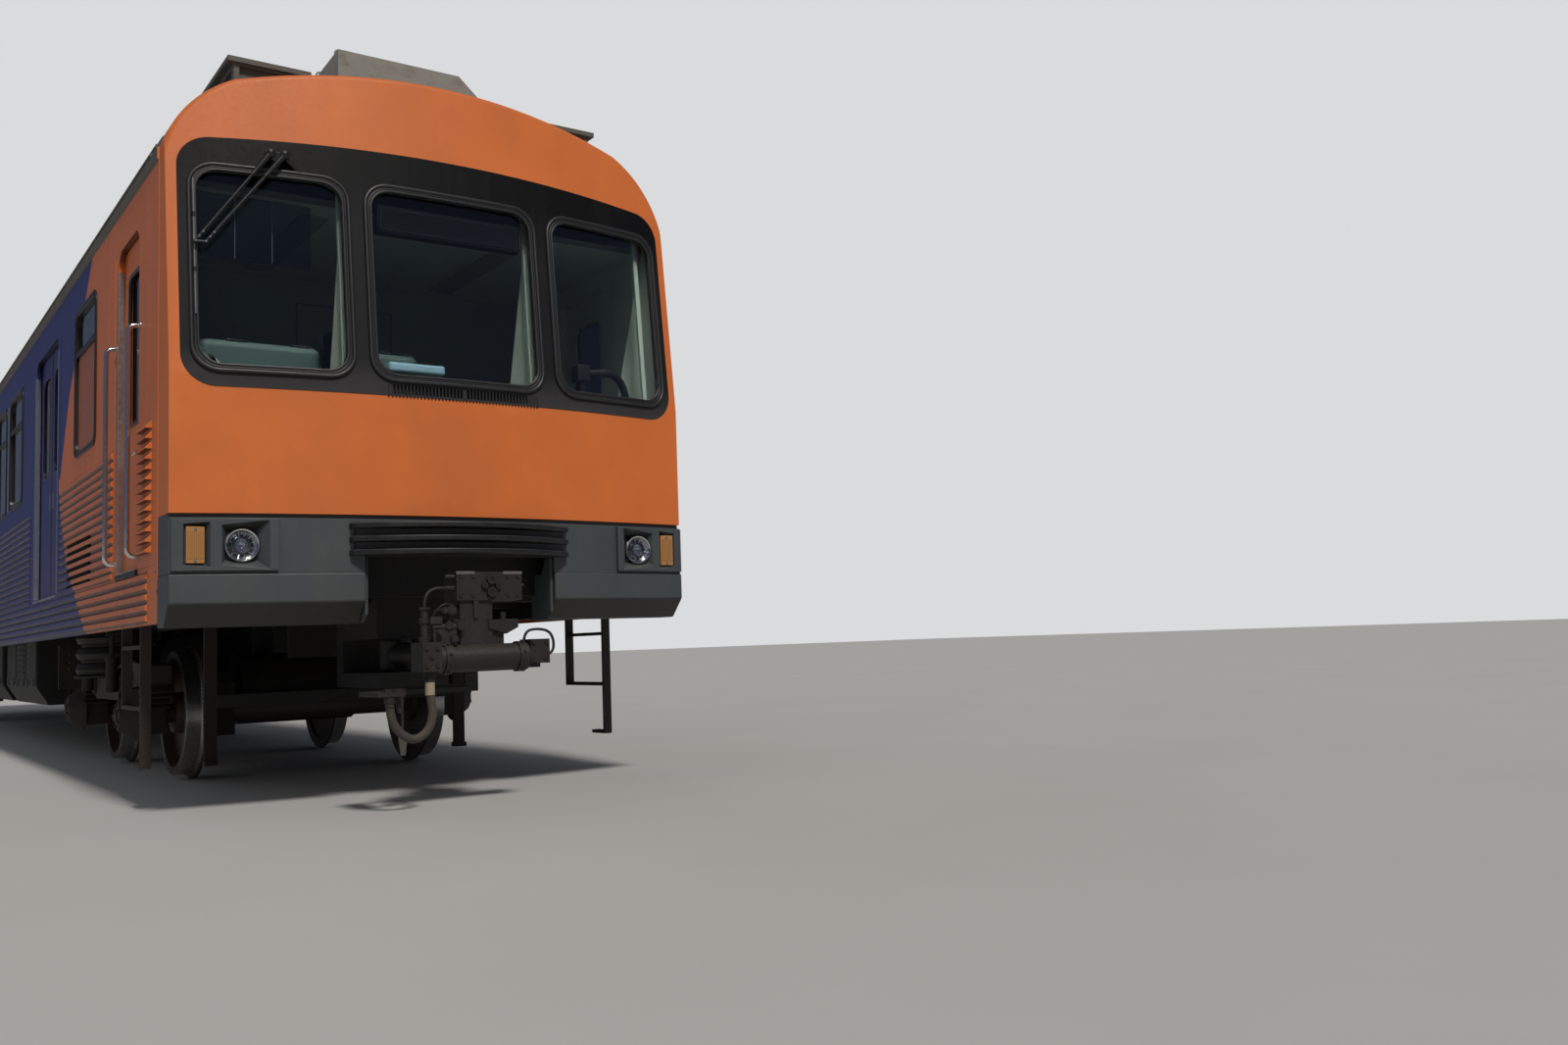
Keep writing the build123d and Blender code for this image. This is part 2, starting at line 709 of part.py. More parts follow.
# End wall with its doorway, and a roof block that trims what stands on the roof
end_wall_front = body_back - end_wall_thickness
sill = 20
with BuildPart() as end_wall:
    with BuildSketch(facing(body_back)):
        add(roof_outline(roof_thickness + seam))
        with Locations((0, (wall_top + eaves) / 2)):
            Rectangle(2 * (wall_inner - seam), eaves - wall_top + 2)
        with Locations((0, (floor_top + wall_top) / 2)):
            Rectangle(2 * half_width, wall_top - floor_top)
        with Locations((0, (floor_top + sill + end_door_top) / 2)):
            Rectangle(2 * end_door_half, end_door_top - floor_top - sill, mode=Mode.SUBTRACT)
    extrude(amount=end_wall_thickness)
    end_hinge = (-end_door_half + 30, end_wall_front + 12)
    with Locations((*end_hinge, end_door_top), (*end_hinge, floor_top + sill)):
        Cylinder(pivot_radius + running_gap, 30, mode=Mode.SUBTRACT)
write(end_wall, "end_wall")


def hinged_door(x, y, z, hinge, window, across_y):
    """A door leaf with a window, hung on a pin above and a pin below its hinge edge."""
    with BuildPart() as leaf:
        block(x, y, z)
        plane = Plane.YZ.offset(x[0] - 1) if across_y else facing(y[1] + 1)
        middle, height, width, level = window
        with BuildSketch(plane):
            with Locations((middle, level)):
                RectangleRounded(width, height, 60)
        extrude(amount=200, mode=Mode.SUBTRACT)
        with BuildSketch(plane.offset(12)):
            with Locations((middle, level)):
                RectangleRounded(width - 2 * seam, height - 2 * seam, 60 - seam)
        extrude(amount=pane_thickness)
        for pin_z in (z[0], z[1]):
            with Locations((*hinge, pin_z)):
                Cylinder(pivot_radius, 24)
    return leaf


cab_leaf_x = (cab_door_inner, cab_door_inner + cab_door_thickness)
cab_leaf_y = (lengthways(cab_door_front) + clearance, lengthways(cab_door_back) - 10)
cab_leaf_z = (floor_top + clearance, wall_top - clearance)
cab_glass = (lengthways(1045), 890, 360, rail_top + 2585)
cab_door_right = hinged_door(cab_leaf_x, cab_leaf_y, cab_leaf_z, (cab_hinge[0], lengthways(cab_hinge[1])),
                             cab_glass, True)
write(cab_door_right, "cab_door_right")
with BuildPart() as cab_door_left:
    add(cab_door_right.part)
    mirror(about=Plane.YZ, mode=Mode.REPLACE)
write(cab_door_left, "cab_door_left")

end_door = hinged_door((-end_door_half + 10, end_door_half - clearance), (end_wall_front, end_wall_front + 35),
                       (floor_top + sill + clearance, end_door_top - clearance), end_hinge,
                       (0, 850, 400, rail_top + 2600), False)
write(end_door, "end_door")

# Partition behind the cab, with its door
partition_front = lengthways(partition_y)
partition_back = partition_front + partition_thickness
door_x0, door_x1 = partition_door_x
partition_hinge = (door_x0 + 30, partition_back - 12)
with BuildPart() as partition:
    with BuildSketch(facing(partition_back)):
        with Locations((0, (floor_top + eaves) / 2)):
            Rectangle(2 * (wall_inner - seam), eaves - floor_top)
        with Locations(((door_x0 + door_x1) / 2, (floor_top + sill + end_door_top) / 2)):
            Rectangle(door_x1 - door_x0, end_door_top - floor_top - sill, mode=Mode.SUBTRACT)
    extrude(amount=partition_thickness)
    with Locations((*partition_hinge, end_door_top), (*partition_hinge, floor_top + sill)):
        Cylinder(pivot_radius + running_gap, 30, mode=Mode.SUBTRACT)
write(partition, "partition")
partition_door = hinged_door((door_x0 + 10, door_x1 - clearance), (partition_back - 30, partition_back),
                             (floor_top + sill + clearance, end_door_top - clearance), partition_hinge,
                             (0, 700, 300, rail_top + 2650), False)
write(partition_door, "partition_door")

# Sliding leaves: two to each doorway, hung from a runner in the cantrail's groove
leaf_foot = floor_top + clearance
leaf_top = wall_top - clearance
leaf_width = door_half + leaf_lap - leaf_gap / 2
glass_width, glass_height, glass_round = leaf_window
glass_level = rail_top + 2650
for side, way in (("right", 1), ("left", -1)):
    for i, centre in enumerate(door_centres):
        for end, turn in (("front", -1), ("back", 1)):
            near = centre + turn * leaf_gap / 2
            far = near + turn * leaf_width
            low, high = min(near, far), max(near, far)
            x_low, x_high = sorted((way * (leaf_middle - leaf_thickness / 2), way * (leaf_middle + leaf_thickness / 2)))
            middle = (low + high) / 2 - turn * leaf_lap / 2
            with BuildPart() as leaf:
                block((x_low, x_high), (low, high), (leaf_foot, leaf_top))
                with BuildSketch(Plane.YZ.offset(x_low)):
                    with Locations((middle, glass_level)):
                        RectangleRounded(glass_width, glass_height, glass_round)
                extrude(amount=leaf_thickness, mode=Mode.SUBTRACT)
                with BuildSketch(Plane.YZ.offset(way * leaf_middle - pane_thickness / 2)):
                    with Locations((middle, glass_level)):
                        RectangleRounded(glass_width - 2 * seam, glass_height - 2 * seam, glass_round - seam)
                extrude(amount=pane_thickness)
                runner = hanger_width / 2 - seam
                block((way * leaf_middle - runner, way * leaf_middle + runner), (low + 90, high - 90),
                      (leaf_top, wall_top + hanger_height))
            write(leaf, f"door_{i + 1}_{side}_{end}")

# Chrome grab rails, a tall bar on two stubs at each jamb of the cab doors
rail_radius = 14
rail_stand = 60
stub_radius = 10
rail_foot, rail_head = rail_top + 1360, rail_top + 2640
with BuildPart() as grab_rails:
    for y in (lengthways(cab_door_front - 30), lengthways(cab_door_back + 35)):
        rail_x = half_width + rail_stand
        add(bar((rail_x, y, rail_foot - rail_radius), (rail_x, y, rail_head + rail_radius), rail_radius))
        for z in (rail_foot, rail_head):
            add(bar((half_width + seam, y, z), (rail_x, y, z), stub_radius))
    mirror(about=Plane.YZ)
write(grab_rails, "grab_rails")

# Driver's desk under the windscreens
with BuildPart() as driver_desk:
    with BuildSketch(Plane.YZ.offset(-1150)):
        with BuildLine():
            Polyline((lengthways(190), floor_top), (lengthways(190), rail_top + 2110), (lengthways(300), rail_top + 2290),
                     (lengthways(400), rail_top + 2290), (lengthways(470), rail_top + 2120),
                     (lengthways(720), rail_top + 2030), (lengthways(720), rail_top + 1985),
                     (lengthways(520), rail_top + 1960), (lengthways(450), floor_top), close=True)
        make_face()
    extrude(amount=2300)
write(driver_desk, "driver_desk")

# Seats: the driver's, and benches along the saloon's walls
bench_depth = 440
bench_margin = 210
with BuildPart() as seats:
    for start, end, pocket_start, pocket_end, spots, width, near, far in bays[1:]:
        with BuildSketch(facing(end - bench_margin)):
            x = wall_inner - seam
            seat = floor_top + 430
            with BuildLine():
                Polyline((x, floor_top), (x, floor_top + 880), (x - 40, floor_top + 880), (x - 80, seat + 40),
                         (x - bench_depth, seat + 30), (x - bench_depth, seat - 20), (x - 120, seat - 20),
                         (x - 90, floor_top), close=True)
            make_face()
        extrude(amount=end - start - 2 * bench_margin)
    mirror(about=Plane.YZ)
    seat_x = (-740, -300)
    block((-560, -480), (lengthways(1240), lengthways(1320)), (floor_top, floor_top + 480))
    block(seat_x, (lengthways(1050), lengthways(1500)), (floor_top + 480, floor_top + 570))
    with BuildSketch(Plane.YZ.offset(seat_x[0])):
        with BuildLine():
            Polyline((lengthways(1420), floor_top + 570), (lengthways(1500), floor_top + 570),
                     (lengthways(1590), floor_top + 1230), (lengthways(1510), floor_top + 1230), close=True)
        make_face()
    extrude(amount=seat_x[1] - seat_x[0])
write(seats, "seats")

# Upright grab poles beside the doorways, from floor to ceiling
pole_x = 880
pole_radius = 17
pole_offset = 700
with BuildPart() as grab_poles:
    places = [(x, y + turn * pole_offset) for y in door_centres for turn in (-1, 1) for x in (-pole_x, pole_x)]
    with Locations([(x, y, (floor_top + ceiling_foot) / 2) for x, y in places]):
        Cylinder(pole_radius, ceiling_foot - floor_top - 2 * seam)
write(grab_poles, "grab_poles")

# Roof ducts: a slotted cheek under a thin lid along each side
with BuildPart() as roof_trim:
    with BuildSketch(facing(body_back + 50)):
        add(roof_outline(-seam))
    extrude(amount=2 * half_length + 100)

duct_front = 350
duct_step = box_span[0] - 100
duct_back = 21000
with BuildPart() as roof_ducts:
    for x_in, front, back in ((680, duct_front, duct_step), (870, duct_step + 0.5, duct_back)):
        block((x_in, duct_outer), (lengthways(front), lengthways(back)), (duct_foot, duct_top - lid_thickness))
        block((x_in, duct_outer + 35), (lengthways(front - 20 * (front == duct_front)), lengthways(back)),
              (duct_top - lid_thickness, duct_top))
    slot_count = int((duct_back - duct_front) / slot_pitch)
    for i in range(slot_count):
        y = lengthways(duct_front + 60 + i * slot_pitch)
        if y + slot_length < lengthways(duct_step - 20) or y > lengthways(duct_step + 20):
            block((duct_outer - 25, duct_outer + 1), (y, y + slot_length),
                  (duct_top - lid_thickness - 25 - slot_height, duct_top - lid_thickness - 25), mode=Mode.SUBTRACT)
    block((680 + 30, duct_outer - 30), (lengthways(duct_front) - 1, lengthways(duct_front + 25)),
          (duct_top - lid_thickness - 25 - slot_height, duct_top - lid_thickness - 15), mode=Mode.SUBTRACT)
    add(roof_trim.part, mode=Mode.SUBTRACT)
    mirror(about=Plane.YZ)
write(roof_ducts, "roof_ducts")

# Units on the roof: a louvred hood behind the front, a round can and the long equipment box
hood = (450, 760, 1300)
hood_half = (490, 390)
hood_z = (rail_top + 4150, rail_top + 4500)
can_place = (-450, 1750)
can_radius = 210
louvre_slot = (30, 20, 150)
hood_louvre_count = 7
hood_louvre_pitch = 58
panel_pitch = 620
panel_length = 545
panel_z = (rail_top + 4165, rail_top + 4365)
panel_depth = 18
with BuildPart() as roof_units:
    with BuildSketch(Plane.YZ.offset(-hood_half[0])):
        with BuildLine():
            Polyline((lengthways(hood[0]), crown - 120), (lengthways(hood[0]), hood_z[0]),
                     (lengthways(hood[1]), hood_z[1]), (lengthways(hood[2]), hood_z[1] - 40),
                     (lengthways(hood[2]), crown - 120), close=True)
        make_face()
    extrude(amount=2 * hood_half[0])
    with BuildPart(mode=Mode.PRIVATE) as sides:
        with BuildSketch(facing(lengthways(hood[2] + 10))):
            with BuildLine():
                Polyline((-hood_half[0], crown - 130), (-hood_half[0], hood_z[0]), (-hood_half[1], hood_z[1]),
                         (hood_half[1], hood_z[1]), (hood_half[0], hood_z[0]), (hood_half[0], crown - 130), close=True)
            make_face()
        extrude(amount=hood[2] - hood[0] + 20)
    add(sides.part, mode=Mode.INTERSECT)
    hood_slope = math.degrees(math.atan2(hood_half[0] - hood_half[1], hood_z[1] - hood_z[0]))
    louvre_z = (hood_z[0] + hood_z[1]) / 2 - 20
    louvre_x = (hood_half[0] + hood_half[1]) / 2 + 6
    with Locations([Location((way * louvre_x, lengthways(hood[2] - 75 - i * hood_louvre_pitch), louvre_z),
                             (-24, -way * hood_slope, 0)) for way in (1, -1) for i in range(hood_louvre_count)]):
        Box(*louvre_slot, mode=Mode.SUBTRACT)
    with Locations((can_place[0], lengthways(can_place[1]), rail_top + 4270)):
        Cylinder(can_radius, 600)
    with BuildSketch(Plane.YZ.offset(-box_half)):
        with BuildLine():
            y0, y1 = lengthways(box_span[0]), lengthways(box_span[1])
            Polyline((y0, rail_top + 3900), (y0, rail_top + 4120), (y0 + 330, box_top), (y1 - 330, box_top),
                     (y1, rail_top + 4120), (y1, rail_top + 3900), close=True)
        make_face()
    extrude(amount=2 * box_half)
    panel_count = int((box_span[1] - box_span[0] - 760) / panel_pitch)
    panel_start = (box_span[0] + box_span[1]) / 2 - (panel_count - 1) * panel_pitch / 2
    with Locations([(way * box_half, lengthways(panel_start + i * panel_pitch), (panel_z[0] + panel_z[1]) / 2)
                    for way in (1, -1) for i in range(panel_count)]):
        Box(2 * panel_depth, panel_length, panel_z[1] - panel_z[0], mode=Mode.SUBTRACT)
    add(roof_trim.part, mode=Mode.SUBTRACT)
write(roof_units, "roof_units")

# Pantograph: base frame on four insulators, folded arms, and the head with its two strips
pivot = (lengthways(pan_pivot_y), pan_pivot_z)
knuckle = (pivot[0] - lower_arm * math.cos(math.radians(lower_rise)),
           pivot[1] + lower_arm * math.sin(math.radians(lower_rise)))
head = (knuckle[0] + upper_arm * math.cos(math.radians(upper_rise)),
        knuckle[1] + upper_arm * math.sin(math.radians(upper_rise)))
heel_angle = math.radians(190 + upper_rise)
heel_pin = (knuckle[0] + heel * math.cos(heel_angle), knuckle[1] + heel * math.sin(heel_angle))
rod_base = (pivot[0] + rod_mount[0], pivot[1] + rod_mount[1])
rod_pin_radius = 10
rod_x = 180
tube_radius = 38
frame_z = (pan_pivot_z - 150, pan_pivot_z - 90)
pan_x = 400
with BuildPart() as pantograph_base:
    for x in (-pan_x, pan_x):
        block((x - 30, x + 30), (pivot[0] - 620, pivot[0] + 480), frame_z)
    for y in (pivot[0] - 590, rod_base[0], pivot[0], pivot[0] + 450):
        block((-pan_x, pan_x), (y - 30, y + 30), frame_z)
    with Locations([(x, y, frame_z[0] - 150) for x in (-pan_x, pan_x) for y in (pivot[0] - 500, pivot[0] + 380)]):
        Cylinder(55, 300)
    for x in (-290, 290):
        block((x - 30, x + 30), (pivot[0] - 60, pivot[0] + 60), (frame_z[1] - 1, pivot[1] + 60))
    with Locations((0, *pivot)):
        Cylinder(tube_radius + running_gap, 800, rotation=(0, 90, 0), mode=Mode.SUBTRACT)
    for x in (rod_x - 31, rod_x + 31):
        block((x - 11, x + 11), (rod_base[0] - 28, rod_base[0] + 28), (frame_z[1] - 1, rod_base[1] + 26))
    with Locations((rod_x, *rod_base)):
        Cylinder(rod_pin_radius, 90, rotation=(0, 90, 0))
    add(roof_trim.part, mode=Mode.SUBTRACT)
    block((-60, 60), (pivot[0] - 620, pivot[0] - 560), (frame_z[1] - 1, pivot[1] - 32))
write(pantograph_base, "pantograph_base")

with BuildPart() as pantograph_lower_arm:
    with Locations((0, *pivot)):
        Cylinder(tube_radius, 700, rotation=(0, 90, 0))
    add(bar((0, *pivot), (0, *knuckle), arm_radius))
    with Locations((0, *knuckle)):
        Cylinder(42, 200, rotation=(0, 90, 0))
        Cylinder(18 + running_gap, 300, rotation=(0, 90, 0), mode=Mode.SUBTRACT)
write(pantograph_lower_arm, "pantograph_lower_arm")

ear_x = 125
tip_x = 170
with BuildPart() as pantograph_upper_arm:
    with Locations((0, *knuckle)):
        Cylinder(18, 2 * ear_x, rotation=(0, 90, 0))
    for x in (-1, 1):
        with Locations((x * ear_x, *knuckle)):
            Cylinder(40, 32, rotation=(0, 90, 0))
        add(bar((x * ear_x, *knuckle), (x * tip_x, *head), 24))
    with Locations((0, *head)):
        Cylinder(22, 640, rotation=(0, 90, 0))
    for share in (0.5, 0.8):
        y = knuckle[0] + share * (head[0] - knuckle[0])
        z = knuckle[1] + share * (head[1] - knuckle[1])
        with Locations((0, y, z)):
            Cylinder(16, 2 * (ear_x + share * (tip_x - ear_x)), rotation=(0, 90, 0))
    add(bar((ear_x, *knuckle), (ear_x, *heel_pin), 22))
    with Locations(((ear_x + rod_x + 30) / 2, *heel_pin)):
        Cylinder(rod_pin_radius, rod_x + 30 - ear_x, rotation=(0, 90, 0))
write(pantograph_upper_arm, "pantograph_upper_arm")

with BuildPart() as pantograph_rod:
    add(bar((rod_x, *rod_base), (rod_x, *heel_pin), 14))
    for place, gap in ((rod_base, running_gap), (heel_pin, running_gap + rod_drift)):
        with Locations((rod_x, *place)):
            Cylinder(28, 28, rotation=(0, 90, 0))
            Cylinder(rod_pin_radius + gap, 60, rotation=(0, 90, 0), mode=Mode.SUBTRACT)
write(pantograph_rod, "pantograph_rod")

strip_half = 540
strip_reach = 210
horn_drop = 190
with BuildPart() as pantograph_head:
    for x in (-1, 1):
        with Locations((x * 255, *head)):
            Cylinder(34, 60, rotation=(0, 90, 0))
            Cylinder(22 + running_gap, 90, rotation=(0, 90, 0), mode=Mode.SUBTRACT)
        block((x * 255 - 15, x * 255 + 15), (head[0] - strip_reach, head[0] + strip_reach), (head[1] + 34, head[1] + 64))
        block((x * 255 - 15, x * 255 + 15), (head[0] - 30, head[0] + 30), (head[1] + 24, head[1] + 60))
    for y in (head[0] - strip_reach, head[0] + strip_reach):
        block((-strip_half, strip_half), (y - 20, y + 20), (head[1] + 60, head[1] + 92))
        for x in (-1, 1):
            elbow = (x * 760, y, head[1] + 20)
            add(bar((x * (strip_half - 20), y, head[1] + 74), elbow, 15))
            add(bar(elbow, (x * head_half, y, head[1] + 74 - horn_drop), 15))
            with Locations(elbow):
                Sphere(15)
write(pantograph_head, "pantograph_head")

# Boxes and tanks under the floor: x and y spans, foot
boxes = [(-1290, -560, 6500, 8700, 430), (-1290, -560, 9100, 11600, 430), (-1290, -560, 12100, 14900, 480),
         (560, 1290, 6500, 9400, 430), (560, 1290, 9800, 12200, 480), (560, 1290, 12700, 14900, 430)]
bevel = 160
with BuildPart() as underfloor_boxes:
    for x0, x1, y0, y1, foot in boxes:
        way = 1 if x0 > 0 else -1
        inner, outer = (x0, x1) if way > 0 else (x1, x0)
        with BuildSketch(facing(lengthways(y1))):
            with BuildLine():
                Polyline((inner, bearer_foot - seam), (outer, bearer_foot - seam), (outer, rail_top + foot + bevel),
                         (outer - way * bevel * 0.6, rail_top + foot), (inner, rail_top + foot), close=True)
            make_face()
        extrude(amount=y1 - y0)
    for y0, y1 in ((6700, 8600), (12800, 14700)):
        with Locations((0, lengthways((y0 + y1) / 2), rail_top + 800)):
            Cylinder(230, y1 - y0, rotation=(90, 0, 0))
        for y in (y0 + 300, y1 - 300):
            block((-60, 60), (lengthways(y - 30), lengthways(y + 30)), (rail_top + 1000, floor_top - floor_thickness - seam))
write(underfloor_boxes, "underfloor_boxes")

# Cab steps below the cab doors, and a life guard ahead of each leading wheel
step_x = (1405, 1462)
guard_x = (800, 880)
with BuildPart() as steps_and_guards:
    hang = floor_top - floor_thickness - seam
    block(step_x, (lengthways(880), lengthways(900)), (rail_top + 200, hang))
    block(step_x, (lengthways(1420), lengthways(1440)), (rail_top + 520, hang))
    for z in (rail_top + 860, rail_top + 520):
        block(step_x, (lengthways(880), lengthways(1440)), (z, z + 22))
    block(step_x, (lengthways(880), lengthways(1060)), (rail_top + 200, rail_top + 222))
    guard_y = lengthways(800 + bearer_pitch)
    block(guard_x, (guard_y - 14, guard_y + 14), (rail_top + 130, bearer_foot - seam))
    block(guard_x, (guard_y - 45, guard_y + 45), (rail_top + 110, rail_top + 140))
    mirror(about=Plane.YZ)
write(steps_and_guards, "steps_and_guards")

# Front coupler: shank, locking drum between two end blocks, a neck that carries the electric box
# with its four contacts, an air pipe with its cocks, and the hose's bracket
head_y = lengthways(-coupler_reach)
drum_radius = 72
drum_z = coupler_z - 26
drum_y = head_y + 90
left_block = (-417, -317)
right_block = (183, 293)
box_x = (-213, 155)
box_z = (coupler_z + 275, coupler_z + 425)
neck_x = (-190, -10)
contact_middle = (-22, coupler_z + 352)
pipe_x = -385
pipe_top = coupler_z + 232
fitting_x = -360
fitting_foot = coupler_z - 120
bracket_z = (coupler_z - 205, coupler_z - 180)
with BuildPart() as coupler:
    with Locations((0, lengthways(coupler_pivot), coupler_z)):
        Cylinder(eye_radius, 170)
    add(bar((0, lengthways(coupler_pivot), coupler_z), (0, head_y + 140, coupler_z), shank_radius))
    with Locations((0, lengthways(coupler_pivot), coupler_z)):
        Cylinder(coupler_pin_radius + running_gap, 400, mode=Mode.SUBTRACT)
    add(bar((left_block[1] - 1, drum_y, drum_z), (right_block[0] + 1, drum_y, drum_z), drum_radius))
    for x in (left_block[1] + 30, right_block[0] - 60):
        add(bar((x, drum_y, drum_z), (x + 45, drum_y, drum_z), drum_radius + 9))
    block(left_block, (head_y, head_y + 180), (coupler_z - 88, coupler_z + 63))
    block(right_block, (head_y + 20, head_y + 160), (coupler_z - 66, coupler_z + 63))
    block((190, 250), (head_y + 50, head_y + 110), (coupler_z - 88, coupler_z - 65))
    block(neck_x, (head_y + 75, head_y + 230), (coupler_z + 20, box_z[0] + 1))
    block((-118, -92), (head_y + 62, head_y + 90), (box_z[0] - 92, box_z[0] + 1))
    block(box_x, (head_y + 60, head_y + 230), box_z)
    for x, z, radius in ((0, 33, 24), (0, -33, 24), (-40, 3, 15), (38, 0, 15)):
        add(bar((contact_middle[0] + x, head_y + 44, contact_middle[1] + z),
                (contact_middle[0] + x, head_y + 61, contact_middle[1] + z), radius))
    with BuildSketch(facing(head_y + 150)):
        with BuildLine():
            Polyline((-35, coupler_z + 128), (-35, coupler_z + 172), (133, coupler_z + 175),
                     (133, coupler_z + 130), (65, coupler_z + 96), close=True)
        make_face()
    extrude(amount=85)
    add(bar((62, head_y + 105, coupler_z + 170), (62, head_y + 105, coupler_z + 212), 16))
    block((-20, 60), (head_y + 90, head_y + 130), (coupler_z + 40, coupler_z + 130))
    add(bar((-350, head_y + 60, coupler_z + 140), (-200, head_y + 60, coupler_z + 140), 16))
    add(bar((-200, head_y + 32, coupler_z + 145), (-200, head_y + 90, coupler_z + 145), 23))
    block((-365, -300), (head_y + 40, head_y + 110), (coupler_z + 155, coupler_z + 193))
    block((-345, -220), (head_y + 50, head_y + 150), (coupler_z + 40, coupler_z + 128))
    block((-345, -185), (head_y + 80, head_y + 150), (coupler_z + 120, coupler_z + 180))
    add(bar((pipe_x, head_y + 70, coupler_z + 50), (pipe_x, head_y + 70, pipe_top), 19))
    for z in (coupler_z + 62, coupler_z + 160):
        add(bar((pipe_x, head_y + 70, z), (pipe_x, head_y + 70, z + 28), 27))
    block((pipe_x, -310), (head_y + 58, head_y + 82), (coupler_z + 165, coupler_z + 185))
    add(bar((fitting_x, head_y + 70, fitting_foot), (fitting_x, head_y + 70, coupler_z - 80), 28))
    block((-640, -30), (head_y + 300, head_y + 330), bracket_z)
    block((-60, 0), (head_y + 300, head_y + 330), (bracket_z[0], coupler_z - 60))
    block((-640, -500), (head_y + 40, head_y + 330), bracket_z)
write(coupler, "coupler")

# Brake hose: its route hangs from the coupler's left fitting and comes up to the bracket
hose_radius = 22
hose_y = head_y + 70
hose_route = [(fitting_x, fitting_foot - seam), (fitting_x, coupler_z - 205), (-342, coupler_z - 300), (-370, coupler_z - 390),
              (-445, coupler_z - 435), (-525, coupler_z - 390), (-572, coupler_z - 300), (-572, bracket_z[0] - seam)]


def arc_radii(points):
    """The radius of each corner's arc, as large as its two runs allow."""
    radii = []
    for a, b, c in zip(points, points[1:], points[2:]):
        first, second = Vector(*b) - Vector(*a), Vector(*c) - Vector(*b)
        turn = math.radians(first.get_angle(second))
        radii.append(0.45 * min(first.length, second.length) / math.tan(turn / 2))
    return radii


route = [(x, hose_y, z) for x, z in hose_route]
radii = arc_radii(route)
print("hose radii", [round(r) for r in radii])
with BuildPart() as coupler_hose:
    with BuildLine() as path:
        FilletPolyline(*route, radius=radii)
    with BuildSketch(Plane(path.line @ 0, z_dir=path.line % 0)):
        Circle(hose_radius)
    sweep(path=path.line)
hose_length = sum(edge.length for edge in path.edges())
print("hose length", round(hose_length), "volume share",
      round(coupler_hose.part.volume / (math.pi * hose_radius ** 2 * hose_length), 4))
write(coupler_hose, "coupler_hose")

# Drawbar at the back, with the flange that bolts to the next car's
with BuildPart() as drawbar:
    back_pivot = -lengthways(coupler_pivot)
    back_tip = -head_y
    with Locations((0, back_pivot, coupler_z)):
        Cylinder(eye_radius, 170)
    add(bar((0, back_pivot, coupler_z), (0, back_tip - 40, coupler_z), shank_radius))
    with Locations((0, back_pivot, coupler_z)):
        Cylinder(coupler_pin_radius + running_gap, 400, mode=Mode.SUBTRACT)
    with Locations((0, back_tip - 20, coupler_z)):
        Cylinder(150, 40, rotation=(90, 0, 0))
write(drawbar, "drawbar")

